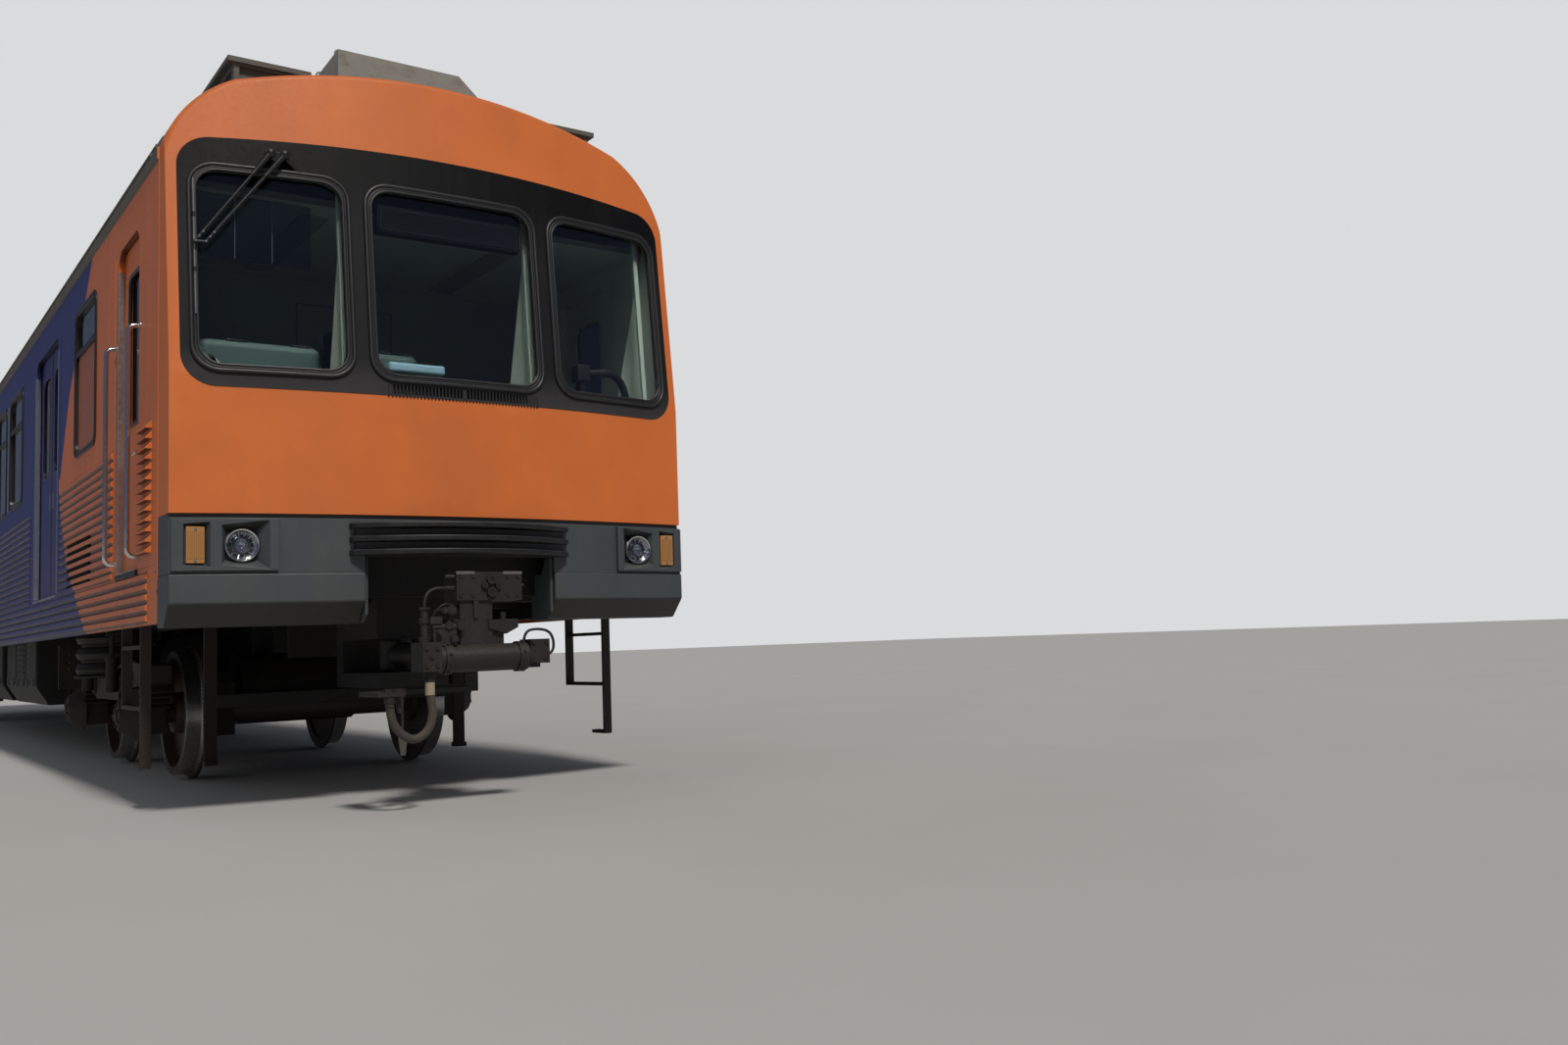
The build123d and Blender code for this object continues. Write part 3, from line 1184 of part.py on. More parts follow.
# Bogies: outside side frames, transom, air springs, motors and axle boxes
axle_z = rail_top + wheel_radius
motor_radius = 260
motor_half = 430
for name, centre, way in (("bogie_front", bogie_centres[0], 1), ("bogie_back", bogie_centres[1], -1)):
    with BuildPart() as bogie:
        for side in (-1, 1):
            x0 = side * frame_x - frame_width / 2
            with BuildSketch(Plane.YZ.offset(x0)):
                with BuildLine():
                    Polyline((centre - 1420, rail_top + 640), (centre - 1420, rail_top + 760),
                             (centre - 850, rail_top + 790), (centre - 450, rail_top + 690),
                             (centre + 450, rail_top + 690), (centre + 850, rail_top + 790),
                             (centre + 1420, rail_top + 760), (centre + 1420, rail_top + 640),
                             (centre + 700, rail_top + 600), (centre + 450, rail_top + 520),
                             (centre - 450, rail_top + 520), (centre - 700, rail_top + 600), close=True)
                make_face()
            extrude(amount=frame_width)
            for y in (centre - wheelbase / 2, centre + wheelbase / 2):
                block((x0, x0 + frame_width), (y - 140, y + 140), (axle_z - 130, axle_z + 130))
                for leg in (-1, 1):
                    with BuildSketch(Plane.YZ.offset(x0)):
                        with BuildLine():
                            Polyline((y + leg * 140, axle_z + 80), (y + leg * 260, axle_z + 230),
                                     (y + leg * 180, axle_z + 230), (y + leg * 60, axle_z + 100), close=True)
                        make_face()
                    extrude(amount=frame_width)
                with BuildSketch(Plane.YZ.offset(side * (frame_x + frame_width / 2))):
                    with Locations((y, axle_z)):
                        Circle(180)
                extrude(amount=side * 110, taper=35)
            with Locations((side * frame_x, centre, (rail_top + 690 + bolster_foot - seam) / 2)):
                Cylinder(spring_radius, bolster_foot - seam - rail_top - 690)
        block((-frame_x, frame_x), (centre - 230, centre + 230), (rail_top + 520, rail_top + 690))
        for turn in (-1, 1):
            y = centre + turn * 560
            with Locations((-70 * turn, y, rail_top + 560)):
                Cylinder(motor_radius, 2 * motor_half, rotation=(0, 90, 0))
            block((-280, 280), sorted((centre + turn * 200, y - turn * 150)), (rail_top + 540, rail_top + 680))
            block(sorted((turn * 350, turn * 690)), sorted((y - turn * 120, y + turn * 150)),
                  (axle_z - 100, axle_z + 260))
            block(sorted((turn * 520, turn * 690)), sorted((y, centre + turn * (wheelbase / 2 + 140))),
                  (axle_z - 170, axle_z + 200))
        with Locations((0, centre, rail_top + 605)):
            Cylinder(pivot_pin_radius + running_gap, 400, mode=Mode.SUBTRACT)
        for y in (centre - wheelbase / 2, centre + wheelbase / 2):
            with Locations((0, y, axle_z)):
                Cylinder(axle_radius + clearance, 1500, rotation=(0, 90, 0), mode=Mode.SUBTRACT)
            with Locations((0, y, axle_z)):
                Cylinder(journal_radius + running_gap, 2 * (frame_x + frame_width / 2), rotation=(0, 90, 0),
                         mode=Mode.SUBTRACT)
        plate_y = centre + way * 800
        for side in (-1, 1):
            inner = side * (frame_x + frame_width / 2 - 1)
            block(sorted((inner, side * 1350)), (plate_y - 12, plate_y + 12), (rail_top + 600, rail_top + 940))
            with Locations([(side * x, plate_y, rail_top + z) for x in (1210, 1290) for z in (740, 800, 860)]):
                Cylinder(14, 40, rotation=(90, 0, 0), mode=Mode.SUBTRACT)
    write(bogie, name)

# Wheelsets: axle, two wheels and the journals turned in one profile
hub_radius = 150
rim_radius = 372
wheel_profile = [(0, axle_radius), (wheel_back - 10, axle_radius), (wheel_back - 10, hub_radius),
                 (wheel_back + 32, hub_radius + 10), (wheel_back + 24, rim_radius), (wheel_back, rim_radius),
                 (wheel_back, wheel_radius + flange_depth), (wheel_back + 20, wheel_radius + flange_depth),
                 (wheel_back + flange_width + 6, wheel_radius), (wheel_back + wheel_width, wheel_radius - 5),
                 (wheel_back + wheel_width, rim_radius), (wheel_back + 56, rim_radius - 8),
                 (wheel_back + 46, hub_radius), (wheel_back + wheel_width, hub_radius - 15),
                 (wheel_back + wheel_width, journal_radius),
                 (frame_x + frame_width / 2 - 2, journal_radius), (frame_x + frame_width / 2 - 2, 0), (0, 0)]
wheelset_places = [centre + turn * wheelbase / 2 for centre in bogie_centres for turn in (-1, 1)]
for i, y in enumerate(wheelset_places):
    with BuildPart() as wheelset:
        with BuildSketch(Plane(origin=(0, y, axle_z), x_dir=(1, 0, 0), z_dir=(0, -1, 0))):
            with BuildLine():
                Polyline(*wheel_profile, close=True)
            make_face()
            mirror(about=Plane.YZ)
        revolve(axis=Axis((0, y, axle_z), (1, 0, 0)))
    write(wheelset, f"wheelset_{i + 1}")
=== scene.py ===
# %% [markdown]
# # A metro motor car
# The car is already built to size as a frame of rigid pieces. This lesson gives those pieces rounded
# edges and worn finishes, and adds what is too fine for the frame: gaskets, lamps, cab fittings, bolts,
# cables and grilles. Every length is in metres. X is to the right when facing the front, Y runs back
# along the car and Z is up.

# %% Load the frame
import json
import math

import bmesh
import bpy
from mathutils import Matrix, Vector


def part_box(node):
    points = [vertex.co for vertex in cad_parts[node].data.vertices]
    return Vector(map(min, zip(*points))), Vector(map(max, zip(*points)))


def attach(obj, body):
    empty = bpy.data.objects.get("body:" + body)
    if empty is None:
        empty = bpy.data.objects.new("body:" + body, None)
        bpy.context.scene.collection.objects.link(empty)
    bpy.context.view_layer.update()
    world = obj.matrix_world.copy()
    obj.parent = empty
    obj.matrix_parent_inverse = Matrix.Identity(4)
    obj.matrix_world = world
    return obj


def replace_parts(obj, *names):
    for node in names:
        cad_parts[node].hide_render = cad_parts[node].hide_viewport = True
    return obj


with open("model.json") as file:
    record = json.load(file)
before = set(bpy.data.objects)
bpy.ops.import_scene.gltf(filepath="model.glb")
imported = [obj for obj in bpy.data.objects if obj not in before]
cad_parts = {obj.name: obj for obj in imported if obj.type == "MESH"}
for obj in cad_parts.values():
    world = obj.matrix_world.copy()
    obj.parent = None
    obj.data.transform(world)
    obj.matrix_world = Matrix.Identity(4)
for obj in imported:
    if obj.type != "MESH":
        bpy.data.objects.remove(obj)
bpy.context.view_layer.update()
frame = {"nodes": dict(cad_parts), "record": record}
body_of = {node: body for body, nodes in frame["record"]["behaviour"]["bodies"].items() for node in nodes}
slot_of = {part["node"]: part["material_slot"] for part in frame["record"]["subparts"]}

# %% [markdown]
# ## Places
# The builder of a car measures from two things: the foot of the front mask and the top of the rail. Two
# small functions turn such measures into places, so that the numbers below read like a drawing.

# %% Measures of the car
half_length = 10.95
flange = 0.028
half_width = 1.5
floor_top = 1.318
nose_sagitta = 0.17
nose_radius = (half_width ** 2 + nose_sagitta ** 2) / (2 * nose_sagitta)
rake_start = 2.25
rake_slope = 0.105
first_doorway, doorway_pitch = 4.38, 4.91
doorways = [first_doorway + i * doorway_pitch for i in range(4)]
bay_middles = [doorway + doorway_pitch / 2 for doorway in doorways[:3]]
to_front, to_back, upwards = (0, -1, 0), (0, 1, 0), (0, 0, 1)


def along(y):
    """The place in Y of a distance behind the mask's foot."""
    return y - half_length


def above(z):
    """The place in Z of a height over the rail."""
    return z + flange


def nose_y(x, z, inset=0.0):
    """The place in Y of the front's curved and raked surface over a point, moved back by an inset."""
    radius = nose_radius - inset - rake_slope * max(0.0, z - above(rake_start))
    return along(-nose_sagitta) + nose_radius - math.sqrt(radius ** 2 - x ** 2)


print("doorways", [round(doorway, 2) for doorway in doorways], "metres behind the mask's foot")

# %% [markdown]
# ## The camera and the light
# The photograph was taken low, at about knee height, from the front left corner, with a moderately wide
# lens. The camera is placed by its heading, its pitch and its roll, worked out as three unit vectors.
# A wide sun lamp stands for the studio's key light, because it lights a car of 22 metres evenly.

# %% Camera
heading, pitch, roll = (math.radians(a) for a in (36.007, 4.957, -2.028))
forward = Vector((math.sin(heading) * math.cos(pitch), math.cos(heading) * math.cos(pitch), math.sin(pitch)))
right = Vector((math.cos(heading), -math.sin(heading), 0))
up = right.cross(forward)
turned_right = math.cos(roll) * right + math.sin(roll) * up
turned_up = math.cos(roll) * up - math.sin(roll) * right
lens_place = (-2.933, -18.177, 0.819)
camera = bpy.data.objects.new("camera", bpy.data.cameras.new("camera"))
camera.data.sensor_width = 36.0
camera.data.lens = 30.78
camera.matrix_world = Matrix.Translation(lens_place) @ Matrix(
    (turned_right, turned_up, -forward)).transposed().to_4x4()
camera.data.clip_end = 400
bpy.context.collection.objects.link(camera)
bpy.context.scene.camera = camera
bpy.context.scene.view_settings.view_transform = "Standard"
print("the lens stands", lens_place[2], "metres over the floor")

# %% Light
def add_sun(name, toward, strength, softness, tint, mirrored=True):
    """A lamp far away that shines along a direction, and may be left out of reflections."""
    lamp = bpy.data.objects.new(name, bpy.data.lights.new(name, "SUN"))
    lamp.data.energy = strength
    lamp.data.angle = math.radians(softness)
    lamp.data.color = tint
    lamp.rotation_euler = Vector(toward).to_track_quat("-Z", "Y").to_euler()
    lamp.visible_glossy = mirrored
    bpy.context.collection.objects.link(lamp)


add_sun("key", (0.06, 0.64, -0.76), 2.35, 8, (1.0, 0.95, 0.88))
add_sun("fill_left", (0.85, 0.45, -0.30), 0.12, 50, (1.0, 0.92, 0.88), mirrored=False)
add_sun("fill_back", (0.3, -0.9, -0.4), 0.6, 60, (0.92, 0.96, 1.0), mirrored=False)
print("three lamps")

# %% [markdown]
# ## Small helpers for shader nodes
# A finish is a graph of nodes. Writing each link by hand hides the idea, so a few helpers make the nodes
# and return their outputs, and a finish then reads as a formula.

# %% Shader helpers
def put(tree, value, socket):
    """Link an output to a socket, or set the socket's own value."""
    if isinstance(value, bpy.types.NodeSocket):
        tree.links.new(value, socket)
    elif value is not None:
        is_colour = socket.type == "RGBA" and len(value) == 3
        socket.default_value = (*value, 1.0) if is_colour else value


def node(tree, kind, inputs=(), **settings):
    """A node with its settings, and its inputs by place."""
    made = tree.nodes.new("ShaderNode" + kind)
    for key, value in settings.items():
        setattr(made, key, value)
    for socket, value in dict(inputs).items():
        put(tree, value, made.inputs[socket])
    return made


def calc(tree, operation, a, b=0.0, clamp=False):
    """One step of arithmetic on values."""
    return node(tree, "Math", {0: a, 1: b}, operation=operation, use_clamp=clamp).outputs[0]


def mix(tree, share, a, b):
    """A mix of two colours."""
    made = node(tree, "Mix", data_type="RGBA")
    put(tree, share, made.inputs["Factor"])
    put(tree, a, made.inputs["A"])
    put(tree, b, made.inputs["B"])
    return made.outputs["Result"]


def spread(tree, value, low, high, out_low=0.0, out_high=1.0):
    """A value's range stretched to another, with its ends held."""
    return node(tree, "MapRange", {0: value, 1: low, 2: high, 3: out_low, 4: out_high}).outputs[0]


# %% Patterns, places and groups
def noise(tree, scale, detail=4.0, stretch=(1, 1, 1), roughness=0.55):
    """Noise on object coordinates, stretched by a scale for each axis."""
    place = node(tree, "TexCoord").outputs["Object"]
    mapped = node(tree, "Mapping", {"Vector": place, "Scale": stretch}).outputs[0]
    made = node(tree, "TexNoise", {"Vector": mapped, "Scale": scale, "Detail": detail,
                                   "Roughness": roughness})
    return made.outputs["Fac"]


def group(name, ins, outs):
    """An empty node group with named sockets; returns its tree, input node and output node."""
    tree = bpy.data.node_groups.new(name, "ShaderNodeTree")
    kinds = {"color": "NodeSocketColor", "float": "NodeSocketFloat"}
    for socket, (kind, value) in ins.items():
        made = tree.interface.new_socket(socket, in_out="INPUT", socket_type=kinds[kind])
        made.default_value = (*value, 1.0) if kind == "color" else value
    for socket, kind in outs.items():
        tree.interface.new_socket(socket, in_out="OUTPUT", socket_type=kinds[kind])
    return tree, tree.nodes.new("NodeGroupInput"), tree.nodes.new("NodeGroupOutput")


def times(tree, *factors):
    """The product of values."""
    product = factors[0]
    for factor in factors[1:]:
        product = calc(tree, "MULTIPLY", product, factor)
    return product


def scaled(tree, color, factor):
    """A colour made lighter or darker by a factor."""
    made = node(tree, "VectorMath", {0: color}, operation="SCALE")
    put(tree, factor, made.inputs["Scale"])
    return made.outputs[0]


def spot_on(tree):
    """The place on the object, as outputs X, Y and Z."""
    return node(tree, "SeparateXYZ", {0: node(tree, "TexCoord").outputs["Object"]}).outputs


def facing_up(tree):
    """How far a surface faces up: one on a floor, minus one on an underside."""
    return node(tree, "SeparateXYZ", {0: node(tree, "NewGeometry").outputs["Normal"]}).outputs["Z"]


def underside(tree):
    """One where a surface faces down, fading to nought where it stands upright; it masks painted shade."""
    return spread(tree, facing_up(tree), -0.15, -0.60)


# %% [markdown]
# ## The sky
# What lights a thing, what stands behind it and what it mirrors needn't be the same. A pale grey fills the
# picture, a darker blue is what glass and metal reflect, and a dim grey lights everything else.

# %% Sky
world = bpy.data.worlds.new("studio")
world.use_nodes = True
bpy.context.scene.world = world
sky = world.node_tree
lighting = sky.nodes["Background"]
put(sky, (0.54, 0.55, 0.58), lighting.inputs["Color"])
put(sky, 0.29, lighting.inputs["Strength"])
behind = node(sky, "Background", {"Color": (0.70, 0.71, 0.72)}).outputs[0]
reflected = node(sky, "Background", {"Color": (0.075, 0.095, 0.145)}).outputs[0]
rays = node(sky, "LightPath").outputs
shown = node(sky, "MixShader", {0: rays["Is Camera Ray"], 1: lighting.outputs[0], 2: behind}).outputs[0]
shown = node(sky, "MixShader", {0: rays["Is Glossy Ray"], 1: shown, 2: reflected}).outputs[0]
put(sky, shown, sky.nodes["World Output"].inputs["Surface"])
print("the sky has", len(sky.nodes), "nodes")

# %% [markdown]
# ## Dirt as one shared effect
# Nothing on a working train is clean. Dust lies on what faces up, rain draws it into upright streaks, and
# brake dust thickens towards the rail. One node group makes all three from the surface's own place and
# slope, and each finish sets how much of each it shows.

# %% Group: weathering
weather, given, result = group(
    "weathering",
    {"Color": ("color", (0.5, 0.5, 0.5)), "Dirt": ("color", (0.16, 0.13, 0.10)), "Dust": ("float", 0.3),
     "Streaks": ("float", 0.3), "Low Dirt": ("float", 0.3), "Clean Roughness": ("float", 0.4),
     "Grain": ("float", 1.0)},
    {"Color": "color", "Roughness": "float", "Height": "float"})
blotches = noise(weather, 2.3, 6.0)
specks = noise(weather, 46.0, 3.0)
runs = noise(weather, 9.0, 4.0, stretch=(1.0, 1.0, 0.05))
lying = times(weather, spread(weather, facing_up(weather), 0.2, 0.95), given.outputs["Dust"])
running = times(weather, spread(weather, runs, 0.50, 0.74), given.outputs["Streaks"])
low = times(weather, spread(weather, spot_on(weather)["Z"], 1.9, 0.3), given.outputs["Low Dirt"])
patchy = spread(weather, blotches, 0.30, 0.72, 0.35, 1.0)
all_dirt = calc(weather, "ADD", lying, calc(weather, "ADD", running, low))
cover = calc(weather, "MULTIPLY", all_dirt, patchy, clamp=True)
speckled = times(weather, cover, spread(weather, specks, 0.30, 0.65, 0.55, 1.0))
faded = scaled(weather, given.outputs["Color"], spread(weather, blotches, 0.30, 0.70, 0.94, 1.10))
put(weather, mix(weather, speckled, faded, given.outputs["Dirt"]), result.inputs["Color"])
duller = calc(weather, "ADD", given.outputs["Clean Roughness"], times(weather, speckled, 0.45))
uneven = spread(weather, specks, 0.3, 0.7, -0.04, 0.06)
put(weather, calc(weather, "ADD", duller, uneven, clamp=True), result.inputs["Roughness"])
put(weather, times(weather, calc(weather, "ADD", specks, speckled), given.outputs["Grain"]),
    result.inputs["Height"])
print("weathering has", len(weather.nodes), "nodes")

# %% [markdown]
# ## The painted livery
# The sides are orange at the ends and in the middle, with deep blue between. The border with the front
# orange is a wide arrow head that points back, and a slanted violet band leads from blue to the middle
# orange. The colours are worked out from the place on the side, so they run over walls, skirts and doors
# without a break, and they stay on a door when it slides. The same group paints shade into the valleys
# between the flutes and onto faces that look down: it puts out how unshaded a spot is, and both the paint
# and the dust on it are dimmed by that.

# %% Group: livery
orange = (0.62, 0.155, 0.036)
blue = (0.022, 0.024, 0.15)
violet = (0.075, 0.068, 0.33)
cream = (0.52, 0.54, 0.42)
livery, given, result = group("livery", {"Lining Depth": ("float", 1.455)},
                              {"Color": "color", "Clean": "float"})
place = spot_on(livery)
from_end = calc(livery, "SUBTRACT", half_length, calc(livery, "ABSOLUTE", place["Y"]))
arrow = calc(livery, "ABSOLUTE", calc(livery, "SUBTRACT", place["Z"], above(2.08)))
shoulder = calc(livery, "MAXIMUM", calc(livery, "SUBTRACT", arrow, 0.6), 0.0)
hem = calc(livery, "MAXIMUM", calc(livery, "SUBTRACT", above(1.48), place["Z"]), 0.0)
arrow_tip = 3.69
border = arrow_tip
for reach, steepness in ((arrow, 0.75), (shoulder, 0.47), (hem, 0.43)):
    border = calc(livery, "SUBTRACT", border, times(livery, reach, steepness))
leaning = times(livery, calc(livery, "SUBTRACT", place["Z"], above(2.0)), 0.32)
paint = orange
for edge, beyond in ((border, blue), (calc(livery, "ADD", leaning, 8.1), violet),
                     (calc(livery, "ADD", leaning, 8.5), orange)):
    paint = mix(livery, calc(livery, "GREATER_THAN", from_end, edge), paint, beyond)
print("the arrow's tip lies", arrow_tip, "metres from each end")

# %% Painted shade between the flutes and on undersides
def between(value, low, high):
    """One where a value lies between two limits, and nought elsewhere."""
    return times(livery, calc(livery, "GREATER_THAN", value, low), calc(livery, "LESS_THAN", value, high))


depth = calc(livery, "ABSOLUTE", place["X"])
inside = calc(livery, "LESS_THAN", depth, given.outputs["Lining Depth"])
from_front = calc(livery, "ADD", place["Y"], half_length)
from_first = calc(livery, "SUBTRACT", from_front, first_doorway)
from_doorway = calc(livery, "PINGPONG", from_first, doorway_pitch / 2)
widening = times(livery, calc(livery, "GREATER_THAN", from_front, first_doorway), 0.06)
past_jamb = calc(livery, "GREATER_THAN", from_doorway, calc(livery, "ADD", 0.785, widening))
bay = times(livery, past_jamb, between(from_front, 1.52, 21.59),
            between(place["Z"], above(1.276), above(2.042)))
skirt = times(livery, between(from_front, 0.50, 21.65), between(place["Z"], above(0.99), above(1.264)))
# Painted shade: the valleys between the flutes in the bays and on the skirts, and every face that looks down,
# are darkened by up to eight tenths.
valley = times(livery, spread(livery, depth, 1.501, 1.5105, 1.0, 0.0), between(depth, 1.4985, 1.52),
               calc(livery, "MAXIMUM", bay, skirt))
painted_shade = calc(livery, "MAXIMUM", valley, underside(livery))
unshaded = calc(livery, "SUBTRACT", 1.0, times(livery, painted_shade, 0.80))
put(livery, unshaded, result.inputs["Clean"])
put(livery, mix(livery, inside, scaled(livery, paint, unshaded), cream), result.inputs["Color"])
print("the livery has", len(livery.nodes), "nodes")

# %% [markdown]
# ## The finishes
# Each finish is a plain shader whose colour and roughness pass through the weathering group. What stays
# the same all over a surface, such as a coat or a metal's tint, is set on the shader itself. A colour that
# changes with the place is given as a function that makes its nodes.

# %% Finish maker
finishes = {}


def finish(name, color, rough, metal=0.0, dust=0.25, streaks=0.2, low=0.25, dirt=(0.15, 0.12, 0.09),
           grain=1.0, bump=0.05, bump_depth=0.002, lining=None, **sockets):
    """A weathered finish on a Principled shader."""
    made = bpy.data.materials.new(name)
    made.use_nodes = True
    tree = made.node_tree
    shader = tree.nodes["Principled BSDF"]
    if callable(color):
        color = color(tree)
    if lining is not None:
        colours = node(tree, "Group", {"Lining Depth": lining}, node_tree=livery).outputs
        color = colours["Color"]
        # The livery's painted shade dims the dirt colour too, so the dust in the valleys goes dark as well.
        dirt = scaled(tree, dirt, colours["Clean"])
    worn = node(tree, "Group", {"Color": color, "Dirt": dirt, "Dust": dust, "Streaks": streaks,
                                "Low Dirt": low, "Clean Roughness": rough, "Grain": grain},
                node_tree=weather).outputs
    lumps = node(tree, "Bump",
                 {"Height": worn["Height"], "Strength": bump, "Distance": bump_depth}).outputs[0]
    all_sockets = {"Base Color": worn["Color"], "Roughness": worn["Roughness"], "Metallic": metal,
                   "Normal": lumps}
    all_sockets.update({socket.replace("_", " "): value for socket, value in sockets.items()})
    for socket, value in all_sockets.items():
        put(tree, value, shader.inputs[socket])
    finishes[name] = made
    return made


# %% Painted sheet
side_paint = finish("side_paint", orange, 0.40, lining=1.455, dust=0.3, streaks=0.22, low=0.42)
leaf_paint = finish("leaf_paint", orange, 0.42, lining=1.445, dust=0.3, streaks=0.25, low=0.42)
front_paint = finish("front_paint", orange, 0.50, dust=0.10, streaks=0.07, low=0.06, Specular_IOR_Level=0.35)
end_paint = finish("end_paint", orange, 0.5, dust=0.3, streaks=0.45, low=0.5, dirt=(0.10, 0.075, 0.055))
roof_paint = finish("roof_paint", (0.105, 0.098, 0.086), 0.66, dust=0.5, streaks=0.5, low=0.0,
                    dirt=(0.050, 0.041, 0.033))
unit_paint = finish("unit_paint", (0.205, 0.195, 0.175), 0.58, dust=0.35, streaks=0.85, low=0.0,
                    dirt=(0.10, 0.075, 0.05))
slate_grey = (0.049, 0.060, 0.067)
# Slate, with painted shade: faces that look down are darkened towards a near black.
slate = finish("slate", lambda tree: mix(tree, underside(tree), slate_grey, (0.014, 0.016, 0.017)), 0.48,
               dust=0.25, streaks=0.25, low=0.3, dirt=(0.10, 0.085, 0.07))


def band_color_with_shade(tree):
    """The band's black, with painted shade making it deepest at its top, and dusty along its foot."""
    height = spot_on(tree)["Z"]
    shaded_upper = mix(tree, spread(tree, height, 3.45, 3.10), (0.0035, 0.0035, 0.004), (0.012, 0.012, 0.014))
    return mix(tree, spread(tree, height, 2.42, 2.18), shaded_upper, (0.048, 0.046, 0.049))


band_black = finish("band_black", band_color_with_shade, 0.50, dust=0.03, streaks=0.12, low=0.0,
                    dirt=(0.070, 0.066, 0.062), bump=0.03, Specular_IOR_Level=0.15)
print(len(finishes), "finishes for painted sheet")

# %% Castings, metals and linings
rubber = finish("rubber", (0.016, 0.016, 0.018), 0.40, dust=0.12, streaks=0.15, low=0.1,
                dirt=(0.07, 0.065, 0.055))
frame_black = finish("frame_black", (0.008, 0.0078, 0.0075), 0.58, dust=0.3, streaks=0.3, low=0.3,
                     dirt=(0.036, 0.028, 0.021), grain=1.6, bump=0.15)
rib_black = finish("rib_black", (0.009, 0.009, 0.0095), 0.42, dust=0.75, streaks=0.2, low=0.0,
                   dirt=(0.085, 0.080, 0.076), grain=1.4, bump=0.1)
bogie_steel = finish("bogie_steel", (0.014, 0.012, 0.010), 0.58, dust=0.5, streaks=0.5, low=0.5,
                     dirt=(0.055, 0.040, 0.028), grain=2.0, bump=0.25)
cast_grey = finish("cast_grey", (0.010, 0.0097, 0.0094), 0.52, dust=0.45, streaks=0.35, low=0.2,
                   dirt=(0.046, 0.037, 0.028), grain=2.2, bump=0.25)
worn_metal = finish("worn_metal", (0.16, 0.14, 0.12), 0.42, metal=0.8, dust=0.3, streaks=0.4, low=0.2,
                    dirt=(0.05, 0.038, 0.027), grain=2.0, bump=0.15)
bare_metal = finish("bare_metal", (0.30, 0.28, 0.26), 0.42, metal=1.0, dust=0.6, streaks=0.6, low=0.6,
                    dirt=(0.03, 0.024, 0.018), grain=2.0, bump=0.2)
film_paint = finish("film_paint", (0.36, 0.105, 0.045), 0.42, dust=0.15, streaks=0.12, low=0.0,
                    dirt=(0.20, 0.15, 0.11))
wheel_steel = finish("wheel_steel", (0.075, 0.060, 0.050), 0.50, metal=0.3, dust=0.35, streaks=0.3, low=0.5,
                     dirt=(0.070, 0.044, 0.028), bump=0.12)
tread_steel = finish("tread_steel", (0.42, 0.40, 0.38), 0.26, metal=1.0, dust=0.05, streaks=0.1, low=0.2)
chrome = finish("chrome", (0.66, 0.66, 0.66), 0.14, metal=1.0, dust=0.10, streaks=0.10, low=0.1)
stainless = finish("stainless", (0.46, 0.47, 0.47), 0.32, metal=1.0, dust=0.2, streaks=0.25, low=0.2)
lining_cream = finish("lining_cream", cream, 0.45, dust=0.1, streaks=0.12, low=0.05)
# A darker copy of the cream lining: painted shade for the ceiling, the partition and its door, where little
# light falls.
shaded_cream = finish("shaded_cream", (0.26, 0.27, 0.22), 0.5, dust=0.1, streaks=0.1, low=0.05)
desk_green = finish("desk_green", (0.055, 0.100, 0.075), 0.55, dust=0.3, streaks=0.05, low=0.0, bump=0.2,
                    dirt=(0.25, 0.24, 0.20))
seat_vinyl = finish("seat_vinyl", (0.17, 0.055, 0.025), 0.40, dust=0.1, streaks=0.1, low=0.0, bump=0.3,
                    grain=2.5)
pan_paint = finish("pan_paint", (0.135, 0.036, 0.021), 0.58, dust=0.5, streaks=0.4, low=0.0,
                   dirt=(0.060, 0.040, 0.030), grain=1.5, bump=0.15)
can_red = finish("can_red", (0.20, 0.030, 0.020), 0.5, dust=0.4, streaks=0.4, low=0.0,
                 dirt=(0.07, 0.045, 0.035))
carbon = finish("carbon", (0.030, 0.029, 0.028), 0.42, metal=0.2, dust=0.2, streaks=0.3, low=0.0)
hose_black = finish("hose_black", (0.030, 0.026, 0.022), 0.58, dust=0.7, streaks=0.5, low=0.5,
                    dirt=(0.11, 0.088, 0.064))
tape_pale = finish("tape_pale", (0.36, 0.31, 0.22), 0.6, dust=0.4, streaks=0.4, low=0.4)
satin_black = finish("satin_black", (0.0085, 0.0085, 0.009), 0.40, dust=0.12, streaks=0.10, low=0.05,
                     dirt=(0.07, 0.06, 0.05))
lamp_bowl = finish("lamp_bowl", (0.40, 0.43, 0.48), 0.12, metal=1.0, dust=0.10, streaks=0.10, low=0.1)
floor_lino = finish("floor_lino", (0.10, 0.10, 0.09), 0.5, dust=0.4, streaks=0.0, low=0.0)
porcelain = finish("porcelain", (0.13, 0.045, 0.022), 0.16, dust=0.4, streaks=0.3, low=0.0)
amber_lens = finish("amber_lens", (0.42, 0.20, 0.065), 0.34, dust=0.2, streaks=0.45, low=0.0,
                    dirt=(0.25, 0.17, 0.10), Coat_Weight=0.3)
pale_blue = finish("pale_blue", (0.32, 0.50, 0.56), 0.45, dust=0.15, streaks=0.0, low=0.0)
# Near black for the blank board's face, and painted shade for the side vent's slots.
sign_black_and_slot_shade = finish("sign_black_and_slot_shade", (0.004, 0.004, 0.0045), 0.8, dust=0.05, streaks=0.05, low=0.0,
                   dirt=(0.03, 0.03, 0.03), Specular_IOR_Level=0.10)

# %% Glass
def glass(name, tint, rough=0.0, ior=1.45):
    """Clear or tinted glass, which lets light through."""
    made = bpy.data.materials.new(name)
    made.use_nodes = True
    shader = made.node_tree.nodes["Principled BSDF"]
    for socket, value in (("Base Color", (*tint, 1)), ("Roughness", rough), ("IOR", ior),
                          ("Transmission Weight", 1.0)):
        shader.inputs[socket].default_value = value
    finishes[name] = made
    return made


